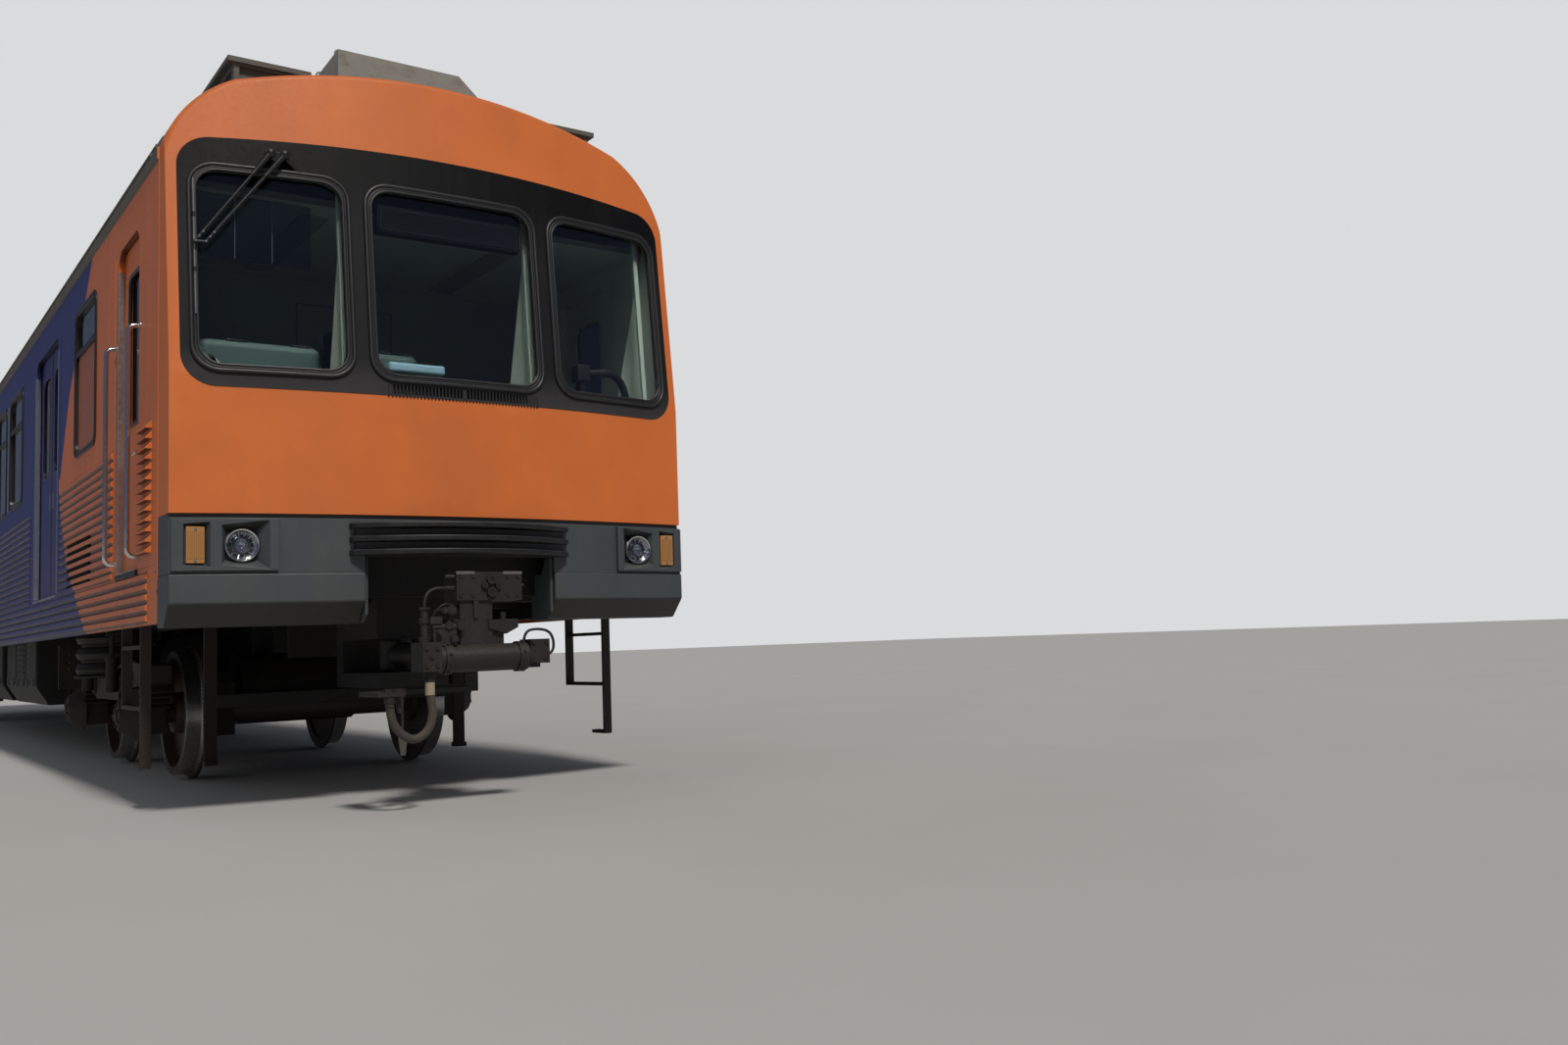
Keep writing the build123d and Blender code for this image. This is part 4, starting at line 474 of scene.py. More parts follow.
front_glass = glass("front_glass", (0.50, 0.57, 0.62))
side_glass = glass("side_glass", (0.06, 0.07, 0.085))
visor_glass = glass("visor_glass", (0.34, 0.38, 0.42), rough=0.05)
lens_glass = glass("lens_glass", (0.95, 0.95, 0.95), rough=0.03)
print(len(finishes), "finishes in all")

# %% [markdown]
# ## Rounding the frame's pieces
# No sheet or casting has a knife edge: a small radius catches the light and tells the eye how big a thing
# is. Each rigid piece of the frame is copied, its loose triangles are merged back into flat faces, and its
# sharp edges are bevelled. Weighted normals keep the flat faces flat, so a narrow bevel is enough.

# %% Helpers for pieces
def place_piece(name, bm, paints, body, slot, smooth=38, weighted=True):
    """Make an object of a bmesh, with its finishes and a body to ride on. The slot is not used."""
    mesh = bpy.data.meshes.new(name)
    bm.to_mesh(mesh)
    bm.free()
    for paint in paints if isinstance(paints, (list, tuple)) else [paints]:
        mesh.materials.append(paint)
    mesh.shade_smooth()
    mesh.set_sharp_from_angle(angle=math.radians(smooth))
    piece = bpy.data.objects.new(name, mesh)
    bpy.context.collection.objects.link(piece)
    if weighted:
        normals = piece.modifiers.new("weighted", "WEIGHTED_NORMAL")
        normals.keep_sharp = True
    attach(piece, body)
    return piece


def copied(node_name):
    """A CAD node's mesh as a merged bmesh with its flat faces whole again."""
    bm = bmesh.new()
    bm.from_mesh(frame["nodes"][node_name].data)
    bmesh.ops.remove_doubles(bm, verts=bm.verts, dist=2e-5)
    bmesh.ops.dissolve_limit(bm, angle_limit=math.radians(0.4), verts=bm.verts, edges=bm.edges)
    return bm


def round_edges(bm, width, segments=2, angle=32):
    """Bevel the edges that turn by more than an angle."""
    sharp = [e for e in bm.edges if e.is_manifold and e.calc_face_angle(0.0) > math.radians(angle)]
    bmesh.ops.bevel(bm, geom=sharp, offset=width, offset_type="OFFSET", segments=segments, profile=0.5,
                    affect="EDGES", clamp_overlap=True, material=-1)


def islands(bm):
    """The separate solids of a bmesh, each as a list of its faces."""
    left = set(bm.faces)
    while left:
        stack = [left.pop()]
        found = []
        while stack:
            face = stack.pop()
            found.append(face)
            for edge in face.edges:
                for other in edge.link_faces:
                    if other in left:
                        left.remove(other)
                        stack.append(other)
        yield found


def join(bm, part):
    """Add one bmesh to another, and free it."""
    scratch = bpy.data.meshes.new("scratch")
    part.to_mesh(scratch)
    part.free()
    bm.from_mesh(scratch)
    bpy.data.meshes.remove(scratch)


def paint_islands(bm, rules):
    """Give a solid the first finish whose test its low and high corners pass."""
    for faces in islands(bm):
        points = [v.co for f in faces for v in f.verts]
        low = Vector([min(p[i] for p in points) for i in range(3)])
        high = Vector([max(p[i] for p in points) for i in range(3)])
        for index, test in enumerate(rules, start=1):
            if test(low, high):
                for face in faces:
                    face.material_index = index
                break


def stand_for(node_name, bm, paints):
    """Place a dressed copy on its node's body, and hide the node."""
    piece = place_piece("dressed_" + node_name, bm, paints, body_of[node_name], slot_of[node_name])
    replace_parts(piece, node_name)
    return piece


def dress(node_name, paint, width=0.0, segments=2, others=()):
    """Replace a CAD node by its rounded copy in a finish; others pairs finishes and tests for some solids."""
    bm = copied(node_name)
    paint_islands(bm, [test for _, test in others])
    if width:
        round_edges(bm, width, segments)
    return stand_for(node_name, bm, [paint] + [other for other, _ in others])


def is_pane(low, high):
    """Whether a solid is a thin pane."""
    size = sorted(high - low)
    return size[0] < 0.0108 and size[1] > 0.2


# %% Dress the plain pieces
# The ceiling and the partition are dressed in the darker cream, a painted shade.
rounded = {
    "side_walls": (side_paint, 0.003), "skirts": (side_paint, 0.003),
    "roof": (roof_paint, 0.003), "ceiling": (shaded_cream, 0.004), "underframe": (frame_black, 0.004),
    "front_mask": (front_paint, 0.004), "window_band": (band_black, 0.002), "front_valance": (slate, 0.003),
    "bumpers": (slate, 0.010), "anticlimber": (rib_black, 0.006),
    "partition": (shaded_cream, 0.003), "grab_poles": (stainless, 0.0),
    "driver_desk": (desk_green, 0.03), "roof_ducts": (roof_paint, 0.004),
    "pantograph_base": (pan_paint, 0.003), "underfloor_boxes": (frame_black, 0.012),
    "steps_and_guards": (bogie_steel, 0.002), "drawbar": (cast_grey, 0.004),
    "pantograph_lower_arm": (pan_paint, 0.003), "pantograph_upper_arm": (pan_paint, 0.002),
    "pantograph_rod": (pan_paint, 0.002), "pantograph_head": (carbon, 0.003),
    "bogie_front": (bogie_steel, 0.006), "bogie_back": (bogie_steel, 0.006), "window_seals": (rubber, 0.004),
}
for name, (paint, width) in rounded.items():
    dress(name, paint, width)
print("dressed", len(rounded), "plain pieces")

# %% Dress the coupler and the cantrails
coupler_z = 0.803
head_y = along(-0.62)
bolt_head = 0.010
bm = copied("coupler")
for vert in bm.verts:
    vert.co.y = max(vert.co.y, head_y + bolt_head)
paint_islands(bm, [lambda low, high: low.z > coupler_z + 0.25])
round_edges(bm, 0.006)
stand_for("coupler", bm, [cast_grey, satin_black])
bm = copied("cantrails")
for face in bm.faces:
    face.material_index = 2 if abs(face.normal.y) > 0.9 else int(face.calc_center_median().z > above(3.428))
round_edges(bm, 0.002)
cantrails = place_piece("dressed_cantrails", bm, [side_paint, roof_paint, end_paint], "car_body", "roof_grey")
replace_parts(cantrails, "cantrails")
print("dressed the coupler and the cantrails")

# %% Dress the doors, the back end and the glass
leaves = [f"door_{i}_{side}_{end}" for i in range(1, 5) for side in ("left", "right")
          for end in ("front", "back")]
for name in leaves + ["cab_door_left", "cab_door_right"]:
    dress(name, leaf_paint, 0.002, others=[(side_glass, is_pane)])
for name in ("end_wall", "end_door"):
    bm = copied(name)
    paint_islands(bm, [is_pane])
    for face in bm.faces:
        if face.material_index == 0 and face.normal.y < -0.5:
            face.material_index = 2
    round_edges(bm, 0.003)
    stand_for(name, bm, [end_paint, side_glass, lining_cream])
dress("partition_door", shaded_cream, 0.002, others=[(side_glass, is_pane)])
panes = dress("windows", front_glass, others=[(side_glass, lambda low, high: high.y - low.y > 0.5)])
panes.visible_shadow = False
dress("front_lamps", lamp_bowl, 0.002,
      others=[(amber_lens, lambda low, high: max(abs(low.x), abs(high.x)) > 1.4)])
dress("roof_units", unit_paint, 0.012, others=[(can_red, lambda low, high: high.x - low.x < 0.5)])
print("dressed", len(leaves) + 8, "doors, walls and glazed pieces")

# %% Dress the wheelsets
for i in range(1, 5):
    name = f"wheelset_{i}"
    bm = copied(name)
    round_edges(bm, 0.003)
    low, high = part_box(name)
    axle = Vector((0, (low[1] + high[1]) / 2, (low[2] + high[2]) / 2))
    for face in bm.faces:
        arm = face.calc_center_median() - axle
        face.material_index = int(math.hypot(arm.y, arm.z) > 0.415 and abs(arm.x) > 0.79)
    stand_for(name, bm, [wheel_steel, tread_steel])
print("dressed four wheelsets")

# %% [markdown]
# ## Tools for the added pieces
# What follows is built from three kinds of form. Plates and boxes start as a cube that is bevelled. Round
# parts are a profile spun about an axis. Beads, pipes, bars and hoses are curves with a round bevel, which
# give even tubes round any corner. Small things of one kind are joined in one mesh.

# %% Boxes, rods and turned parts
def add_box(bm, x, y, z, bevel=0.0, segments=2, turn=None, index=0):
    """A bevelled box between two places on each axis, in either order, turned about its middle."""
    middle = Vector(((x[0] + x[1]) / 2, (y[0] + y[1]) / 2, (z[0] + z[1]) / 2))
    shape = Matrix.Diagonal((abs(x[1] - x[0]), abs(y[1] - y[0]), abs(z[1] - z[0]), 1))
    place = Matrix.Translation(middle) @ (turn.to_4x4() if turn else Matrix.Identity(4)) @ shape
    verts = bmesh.ops.create_cube(bm, size=1, matrix=place)["verts"]
    faces = {f for v in verts for f in v.link_faces}
    for face in faces:
        face.material_index = index
    if bevel:
        edges = list({e for v in verts for e in v.link_edges})
        made = bmesh.ops.bevel(bm, geom=edges, offset=bevel, offset_type="OFFSET", segments=segments,
                               profile=0.5, affect="EDGES", clamp_overlap=True, material=-1)
        verts = list({v for f in made["faces"] for v in f.verts} | {v for v in verts if v.is_valid})
    return verts


def add_rod(bm, start, end, radius, sides=16, end_radius=None, index=0):
    """A round rod from one point to another, which may taper."""
    start, end = Vector(start), Vector(end)
    place = Matrix.Translation((start + end) / 2) @ (end - start).to_track_quat("Z", "Y").to_matrix().to_4x4()
    made = bmesh.ops.create_cone(bm, cap_ends=True, segments=sides, radius1=radius,
                                 radius2=radius if end_radius is None else end_radius,
                                 depth=(end - start).length, matrix=place)
    for face in {f for v in made["verts"] for f in v.link_faces}:
        face.material_index = index


def add_turned(bm, profile, origin, axis, sides=32, index=0):
    """A closed profile of radius and height pairs spun about an axis through an origin."""
    place = Matrix.Translation(origin) @ Vector(axis).to_track_quat("Z", "Y").to_matrix().to_4x4()
    part = bmesh.new()
    verts = [part.verts.new((radius, 0, height)) for radius, height in profile]
    edges = [part.edges.new((verts[i], verts[(i + 1) % len(verts)])) for i in range(len(verts))]
    bmesh.ops.spin(part, geom=verts + edges, cent=(0, 0, 0), axis=upwards, angle=2 * math.pi, steps=sides,
                   use_merge=True)
    bmesh.ops.remove_doubles(part, verts=part.verts, dist=1e-6)
    bmesh.ops.recalc_face_normals(part, faces=part.faces)
    bmesh.ops.transform(part, matrix=place, verts=part.verts)
    for face in part.faces:
        face.material_index = index
    join(bm, part)


def add_bolts(bm, places, axis, radius=0.011, height=0.009, index=0):
    """Hexagon heads on their washers, standing along an axis."""
    axis = Vector(axis).normalized()
    for place in places:
        place = Vector(place)
        add_rod(bm, place, place + axis * height * 0.3, radius * 1.5, 12, index=index)
        add_rod(bm, place, place + axis * height, radius, 6, index=index)


# %% Tubes along runs of points
def tubes(name, runs, paint, body, slot, thickness=0.01, sides=4, kind="POLY"):
    """Round tubes as one mesh; each run has its points, its radius and whether it closes."""
    curve = bpy.data.curves.new(name, "CURVE")
    curve.dimensions = "3D"
    curve.bevel_depth = thickness
    curve.bevel_resolution = sides
    curve.use_fill_caps = True
    for points, radius, closed in runs:
        spline = curve.splines.new(kind)
        spline.points.add(len(points) - 1)
        for spot, point in zip(spline.points, points):
            spot.co = (*point, 1)
            spot.radius = radius / thickness
        spline.use_cyclic_u = closed
        if kind == "NURBS":
            spline.order_u = 3
            spline.use_endpoint_u = not closed
            spline.resolution_u = 6
    holder = bpy.data.objects.new(name + "_curve", curve)
    mesh = bpy.data.meshes.new_from_object(holder)
    bm = bmesh.new()
    bm.from_mesh(mesh)
    bpy.data.objects.remove(holder)
    bpy.data.meshes.remove(mesh)
    return place_piece(name, bm, paint, body, slot, smooth=50, weighted=False)


def round_outline(middle_a, middle_b, width, height, radius, steps=6, straight=6):
    """The points of a rectangle with round corners, in a plane's own two directions."""
    points = []
    for corner, (way_a, way_b) in enumerate(((1, 1), (-1, 1), (-1, -1), (1, -1))):
        centre_a = middle_a + way_a * (width / 2 - radius)
        centre_b = middle_b + way_b * (height / 2 - radius)
        for i in range(steps + 1):
            angle = math.radians(90 * corner + 90 * i / steps)
            points.append((centre_a + radius * math.cos(angle), centre_b + radius * math.sin(angle)))
        after = [(-1, 0), (0, -1), (1, 0), (0, 1)][corner]
        run = (width if after[0] else height) - 2 * radius
        last = points[-1]
        for i in range(1, straight):
            points.append((last[0] + after[0] * run * i / straight, last[1] + after[1] * run * i / straight))
    return points


def side_loop(x, middle_y, middle_z, width, height, radius, thickness):
    """A closed run round a window in a side, as tubes() takes it."""
    outline = round_outline(middle_y, middle_z, width, height, radius, steps=5, straight=1)
    return [(x, y, z) for y, z in outline], thickness, True


# %% [markdown]
# ## Gaskets
# Each pane of a train sits in a rubber profile with two rolled lips, an outer one on the body and an inner
# one on the glass. The lips catch two thin lines of light all round the pane. On the front they follow the
# curved face, so their points are laid on it by the same formula as the face.

# %% Gasket lips
glass_low, glass_high = above(2.266), above(3.394)
glass_middle = (glass_low + glass_high) / 2
front_panes = [(0.0, 1.018), (-0.995, 0.798), (0.995, 0.798)]
lips = []
for centre, width in front_panes:
    for inset, lip in ((0.002, 0.012), (0.018, 0.005), (0.031, 0.008)):
        outline = round_outline(centre, glass_middle, width - 2 * inset, glass_high - glass_low - 2 * inset,
                                0.13 - inset * 0.5)
        lips.append(([(x, nose_y(x, z, -0.010), z) for x, z in outline], lip, True))
tubes("front_gasket_lips", lips, rubber, "car_body", "seal_rubber")
window_low, window_high = above(2.18), above(3.19)
window_middle = (window_low + window_high) / 2
side_windows = [(2.552, 0.835), (21.1, 0.9)]
for middle in bay_middles:
    side_windows += [(middle - 0.575, 0.9), (middle + 0.575, 0.9)]
lips = []
for centre, width in side_windows:
    for way in (1, -1):
        for inset, lip in ((0.003, 0.006), (0.031, 0.005)):
            lips.append(side_loop(way * 1.504, along(centre), window_middle, width - 2 * inset,
                                  window_high - window_low - 2 * inset, 0.09 - inset / 2, lip))
tubes("side_gasket_lips", lips, rubber, "car_body", "seal_rubber", sides=3)
print("gaskets round", len(front_panes) + 2 * len(side_windows), "panes")

# %% [markdown]
# ## The grille
# Under the middle pane a strip of fine bars lets air into the cab. Each bar is a small box set on the
# curved face, at a regular pitch.

# %% Grille under the middle pane
bars = bmesh.new()
bar_pitch = 0.020
for i in range(-21, 24):
    x = i * bar_pitch
    face_y = nose_y(x, above(2.215))
    add_box(bars, (x - 0.0045, x + 0.0045), (face_y - 0.004, face_y + 0.002),
            (above(2.176), above(2.254)), 0.0012)
place_piece("grille_bars", bars, rubber, "car_body", "seal_rubber")
print("bars every", bar_pitch, "metres")

# %% [markdown]
# ## Headlamps and markers
# The frame has the bowl of each headlamp and the block of each marker. A headlamp gets what makes it read as
# a lamp: a bezel ring, a dark ring round the bulb, a bulb and a domed lens. The marker's lens gets fine ribs
# on its face and two screws.

# %% Lamp fittings
lamp_z = above(1.367)
bowl_mouth = along(-0.030) - 0.032
marker_face = along(-0.015) - 0.0255
bezels = bmesh.new()
lenses = bmesh.new()
ribs = bmesh.new()
for way in (1, -1):
    spot = Vector((way * 1.159, bowl_mouth, lamp_z))
    add_turned(bezels, [(0.074, 0.002), (0.076, 0.010), (0.082, 0.012), (0.087, 0.006), (0.087, -0.004),
                        (0.076, -0.004)], spot, to_front, 48)
    add_turned(bezels, [(0.030, -0.012), (0.034, 0.002), (0.040, 0.003), (0.043, -0.012)], spot, to_front,
               40, index=1)
    add_turned(bezels, [(0.0, -0.012), (0.016, -0.010), (0.014, 0.004), (0.008, 0.011), (0.0, 0.013)],
               spot, to_front, 24, index=2)
    for i in range(12):
        angle = math.radians(30 * i + 15)
        ray = Vector((math.cos(angle), 0, math.sin(angle)))
        add_rod(bezels, spot + ray * 0.045 + Vector((0, 0.010, 0)),
                spot + ray * 0.074 + Vector((0, 0.001, 0)), 0.0022, 6)
    add_turned(lenses, [(0.0, 0.019), (0.030, 0.0175), (0.056, 0.0125), (0.075, 0.005), (0.075, 0.003),
                        (0.0, 0.011)], spot, to_front, 48)
    x = way * 1.378
    for i in range(-4, 5):
        add_box(ribs, (x + i * 0.0085 - 0.0028, x + i * 0.0085 + 0.0028),
                (marker_face - 0.0035, marker_face + 0.002), (lamp_z - 0.070, lamp_z + 0.070), 0.0016)
    for z in (lamp_z - 0.080, lamp_z + 0.080):
        add_rod(ribs, (x, marker_face + 0.002, z), (x, marker_face - 0.006, z), 0.006, 12, index=1)
place_piece("headlamp_bezels", bezels, [chrome, satin_black, lens_glass], "car_body", "lamp_glass")
place_piece("headlamp_lenses", lenses, lens_glass, "car_body", "lamp_glass").visible_shadow = False
place_piece("marker_ribs", ribs, [amber_lens, stainless], "car_body", "lamp_glass")
print("two headlamps and two markers")

# %% [markdown]
# ## The wiper
# The wiper has two arms that stay parallel, so that its blade stays upright as it sweeps. Each arm is a
# stout root that tapers to a thin rod, with small bolts at its foot, and the blade is a slim bright strip
# with a rubber lip. It is built round the plain bars of the frame and stands for them.

# %% Wiper
wiper = bmesh.new()
root_z, foot_z = above(3.475), above(2.945)


def on_face(x, z, out):
    """A point a little outside the front's face."""
    return Vector((x, nose_y(x, z, -out), z))


for root_x, foot_x in ((-1.000, -1.375), (-0.930, -1.325)):
    root = on_face(root_x, root_z, 0.055)
    foot = on_face(foot_x, foot_z, 0.045)
    knee = root.lerp(foot, 0.22)
    add_rod(wiper, on_face(root_x, root_z, -0.002), root - Vector((0, 0.012, 0)), 0.015, 16)
    add_rod(wiper, root, knee, 0.019, 12, end_radius=0.012)
    add_turned(wiper, [(0.0, -0.020), (0.020, -0.020), (0.024, -0.010), (0.024, 0.012), (0.014, 0.020),
                       (0.0, 0.022)], root, to_front, 20)
    add_rod(wiper, knee, foot, 0.0080, 12)
    add_rod(wiper, root.lerp(foot, 0.16), root.lerp(foot, 0.26), 0.0125, 12)
    for share in (0.90, 0.95, 1.0):
        spot = root.lerp(foot, share)
        add_rod(wiper, spot + Vector((0, 0.010, 0)), spot - Vector((0, 0.014, 0)), 0.0055, 8, index=1)
add_rod(wiper, on_face(-0.930, root_z, 0.030), on_face(-0.845, above(3.395), 0.012), 0.016, 12,
        end_radius=0.010)
foot_plate_y = nose_y(-0.97, above(3.49))
add_box(wiper, (-1.02, -0.91), (foot_plate_y - 0.012, foot_plate_y + 0.004),
        (above(3.445), above(3.505)), 0.006)
blade_x = -1.372
add_rod(wiper, on_face(-1.375, foot_z, 0.045), on_face(-1.325, foot_z, 0.045), 0.008, 12)
add_rod(wiper, on_face(blade_x, foot_z, 0.045), on_face(blade_x, foot_z, 0.016), 0.007, 12)
for low, high in ((2.56, 2.80), (2.80, 3.10), (3.10, 3.30)):
    for out, radius, sides, index in ((0.018, 0.0055, 8, 1), (0.008, 0.004, 6, 0)):
        add_rod(wiper, on_face(blade_x, above(low), out), on_face(blade_x, above(high), out), radius, sides,
                index=index)
for z in (2.80, 3.10):
    add_rod(wiper, on_face(blade_x, above(z - 0.012), 0.018), on_face(blade_x, above(z + 0.012), 0.018),
            0.008, 10)
piece = place_piece("wiper_arms", wiper, [satin_black, stainless], "car_body", "wiper_black")
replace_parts(piece, "wiper")
print("the wiper's blade is", round(3.30 - 2.56, 2), "metres long")

# %% [markdown]
# ## The cab behind the glass
# Little of the cab is lit, but what shows is telling: pale pillar linings that run up beside each pane, two
# green humps and a tray on the desk, a tinted visor, a dark and blank board, and a bent handle at the right
# pane. Each is a bevelled box or a tube, and the linings lean with the face.

# %% Cab linings
cab = bmesh.new()
for x0, x1, deep, lean, taper in ((-0.596, -0.505, 0.20, -0.050, 0.88), (0.512, 0.600, 0.25, -0.062, 1.05),
                                  (1.392, 1.425, 0.30, -0.115, 1.0), (-1.412, -1.385, 0.22, 0.0, 0.0)):
    verts = add_box(cab, (x0, x1), (0.0, deep), (above(2.02), above(3.40)), 0.006)
    for vert in verts:
        share = vert.co.y / deep * max(0.03, 1 - taper * (vert.co.z - above(2.33)))
        vert.co.y = share * deep
        if vert.co.x < (x0 + x1) / 2:
            vert.co.x += lean * share
        vert.co.y += nose_y((x0 + x1) / 2, vert.co.z, 0.070)
for x0, x1 in ((-0.628, -0.598), (0.474, 0.504), (1.300, 1.328)):
    verts = add_box(cab, (x0, x1), (0.0, 0.03), (above(2.06), above(3.38)), 0.003)
    for vert in verts:
        vert.co.y += nose_y(x0, vert.co.z, 0.085)
add_box(cab, (-1.40, 1.40), (along(0.30), along(1.86)), (above(3.33), above(3.338)), 0.002)
place_piece("cab_linings", cab, lining_cream, "car_body", "lining_cream")
print("lined the cab")

# %% Desk
humps = bmesh.new()
for x0, x1, back, top in ((-1.30, -0.66, 0.56, 2.50), (-0.455, -0.10, 0.54, 2.51)):
    add_box(humps, (x0, x1), (along(0.24), along(back)), (above(2.1), above(top)), 0.045, 4)
    add_box(humps, (x0 + 0.05, x1 - 0.05), (along(0.30), along(back - 0.06)),
            (above(top), above(top + 0.006)), 0.003)
    for i in range(2):
        x = x0 + 0.14 + i * (x1 - x0 - 0.30)
        add_box(humps, (x, x + 0.11), (along(0.26), along(0.29)),
                (above(top - 0.004), above(top + 0.008)), 0.003, index=1)
place_piece("desk_humps", humps, [desk_green, satin_black], "car_body", "desk_green")
tray = bmesh.new()
add_box(tray, (-0.29, 0.05), (along(0.20), along(0.46)), (above(2.395), above(2.455)), 0.020, 4)
place_piece("desk_tray", tray, pale_blue, "car_body", "desk_green")
print("two humps and a tray")

# %% Visor and board
visor = bmesh.new()
add_box(visor, (-1.36, -0.72), (along(0.225), along(0.229)), (above(2.93), above(3.29)), 0.0015)
for x in (-1.125, -0.93):
    add_box(visor, (x - 0.002, x + 0.002), (along(0.221), along(0.233)), (above(2.94), above(3.31)),
            0.001, index=1)
place_piece("visor", visor, [visor_glass, stainless], "car_body", "window_glass").visible_shadow = False
board = bmesh.new()
sign_y = along(-0.02)
add_box(board, (-0.43, 0.43), (sign_y, sign_y + 0.07), (above(3.13), above(3.29)), 0.006)
for x0, x1, z0, z1 in ((-0.41, 0.41, 3.267, 3.272), (-0.41, 0.41, 3.150, 3.155), (-0.41, -0.405, 3.15, 3.27),
                       (0.405, 0.41, 3.15, 3.27)):
    add_box(board, (x0, x1), (sign_y - 0.003, sign_y + 0.003), (above(z0), above(z1)), 0.001, index=1)
place_piece("sign_board", board, [sign_black_and_slot_shade, satin_black], "car_body", "lining_cream")
print("the board is blank")

# %% Handle
brake = bmesh.new()
add_box(brake, (0.90, 0.99), (along(0.18), along(0.28)), (above(2.44), above(2.545)), 0.010)
add_box(brake, (0.925, 0.965), (along(0.20), along(0.26)), (above(2.25), above(2.45)), 0.006)
place_piece("cab_handle_block", brake, satin_black, "car_body", "desk_green")
handle = [(0.98, along(0.21), above(2.49)), (1.10, along(0.22), above(2.515)),
          (1.20, along(0.23), above(2.50)), (1.27, along(0.25), above(2.42)),
          (1.285, along(0.25), above(2.28))]
tubes("cab_handle", [(handle, 0.024, False)], satin_black, "car_body", "desk_green", kind="NURBS")
print("fitted out the cab")

# %% Cab rails and the plate behind the coupler
rails = []
for way in (1, -1):
    for y in (0.73, 1.415):
        points = []
        for end, turn in ((above(1.36), 1), (above(2.64), -1)):
            bend = [(1.490, end), (1.522, end), (1.544, end + turn * 0.006), (1.557, end + turn * 0.022),
                    (1.560, end + turn * 0.045)]
            points += bend if turn == 1 else bend[::-1]
        rails.append(([(way * x, along(y), z) for x, z in points], 0.014, False))
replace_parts(tubes("bent_grab_rails", rails, chrome, "car_body", "rail_chrome", thickness=0.014,
                  sides=4), "grab_rails")
closing = bmesh.new()
add_box(closing, (-0.62, 0.62), (along(0.12), along(0.15)), (above(1.10), above(1.36)), 0.004)
add_box(closing, (-0.81, 0.81), (along(2.005), along(2.035)), (above(0.47), above(0.56)), 0.006)
add_box(closing, (-0.35, 0.25), (along(2.005), along(2.035)), (above(0.78), above(1.06)), 0.006)
place_piece("closing_plate", closing, frame_black, "car_body", "frame_black")
print(len(rails), "grab rails")

# %% [markdown]
# ## The coupler's fittings
# The frame has the coupler's castings, its drum and its box. Bolts, rims round the four contacts, a bare worn
# edge along the top of the box and a few bent pipes are what make it read as worked machinery. They ride on
# the coupler, so they swing with it.

# %% Coupler fittings
fittings = bmesh.new()
bare, dark, scuffed = 1, 2, 3


def on_coupler(x, y, z):
    """A place measured from the middle of the coupler's face."""
    return Vector((x, head_y + y, coupler_z + z))


for x0, x1 in ((-0.214, -0.112), (0.048, 0.156)):
    for y0, y1, z0, z1, bevel in ((0.0575, 0.085, 0.4235, 0.4275, 0.0015),
                                  (0.0580, 0.0610, 0.412, 0.4265, 0.001)):
        add_box(fittings, (x0, x1), (head_y + y0, head_y + y1), (coupler_z + z0, coupler_z + z1), bevel,
                index=bare)
for x, z, radius in ((0, 0.033, 0.024), (0, -0.033, 0.024), (-0.040, 0.003, 0.015), (0.038, 0, 0.015)):
    spot = on_coupler(-0.022 + x, 0.044, 0.352 + z)
    add_turned(fittings, [(radius * 0.55, -0.004), (radius * 0.62, 0.003), (radius * 1.1, 0.003),
                          (radius * 1.1, -0.006)], spot, to_front, 24)
    add_rod(fittings, spot, spot - Vector((0, 0.0015, 0)), radius * 0.5, 16, index=dark)
for x0, x1, z, radius in ((-0.264, -0.212, 0.400, 0.012), (-0.258, -0.212, 0.345, 0.008),
                          (0.154, 0.178, 0.355, 0.007)):
    add_rod(fittings, on_coupler(x0, 0.09, z), on_coupler(x1, 0.09, z), radius, 12)
print("rims and wear on the box")

# %% Bolts of the coupler
box_bolts = [on_coupler(x, 0.060, z) for x in (-0.190, -0.120, 0.075, 0.132) for z in (0.300, 0.400)]
block_bolts = [on_coupler(-0.367 + dx, bolt_head, -0.012 + dz) for dx, dz in
               ((-0.030, 0.045), (0.028, 0.045), (-0.030, -0.045), (0.028, -0.045), (0, 0))]
end_bolts = [on_coupler(x, 0.020, z) for x in (0.200, 0.276) for z in (-0.050, 0.045)]
add_bolts(fittings, box_bolts, to_front, 0.008, 0.007)
add_bolts(fittings, block_bolts + end_bolts, to_front, 0.011, bolt_head)
for x in (-0.296, 0.117):
    for angle in (-60, -20, 20, 60):
        turn = math.radians(angle)
        out = Vector((0, -math.cos(turn), math.sin(turn)))
        spot = on_coupler(x + 0.030, 0.09, -0.026) + 0.080 * out
        add_rod(fittings, spot, spot + 0.010 * out, 0.008, 6)
for x, z, radius, reach in ((-0.262, 0.148, 0.017, 0.020), (-0.292, 0.222, 0.014, 0.045),
                            (-0.250, 0.225, 0.020, 0.030), (-0.318, 0.110, 0.013, 0.050),
                            (-0.235, 0.075, 0.016, 0.030)):
    spot = on_coupler(x, 0.06, z)
    add_rod(fittings, spot + Vector((0, 0.09, 0)), spot - Vector((0, reach, 0)), radius, 12)
    add_rod(fittings, spot - Vector((0, reach * 0.5, 0)), spot - Vector((0, reach * 0.5 + 0.012, 0)),
            radius * 1.4, 6)
nuts = [(-0.385, z - 0.006, z + 0.006, 0.031, 6) for z in (0.085, 0.181, 0.236)]
nuts += [(-0.36, z - 0.005, z + 0.004, 0.031, 12) for z in (-0.083, -0.100, -0.115)]
nuts += [(x, -0.180, -0.166, 0.030, 6) for x in (-0.572, -0.520)]
for x, low, high, radius, sides in nuts:
    add_rod(fittings, on_coupler(x, 0.07, low), on_coupler(x, 0.07, high), radius, sides)
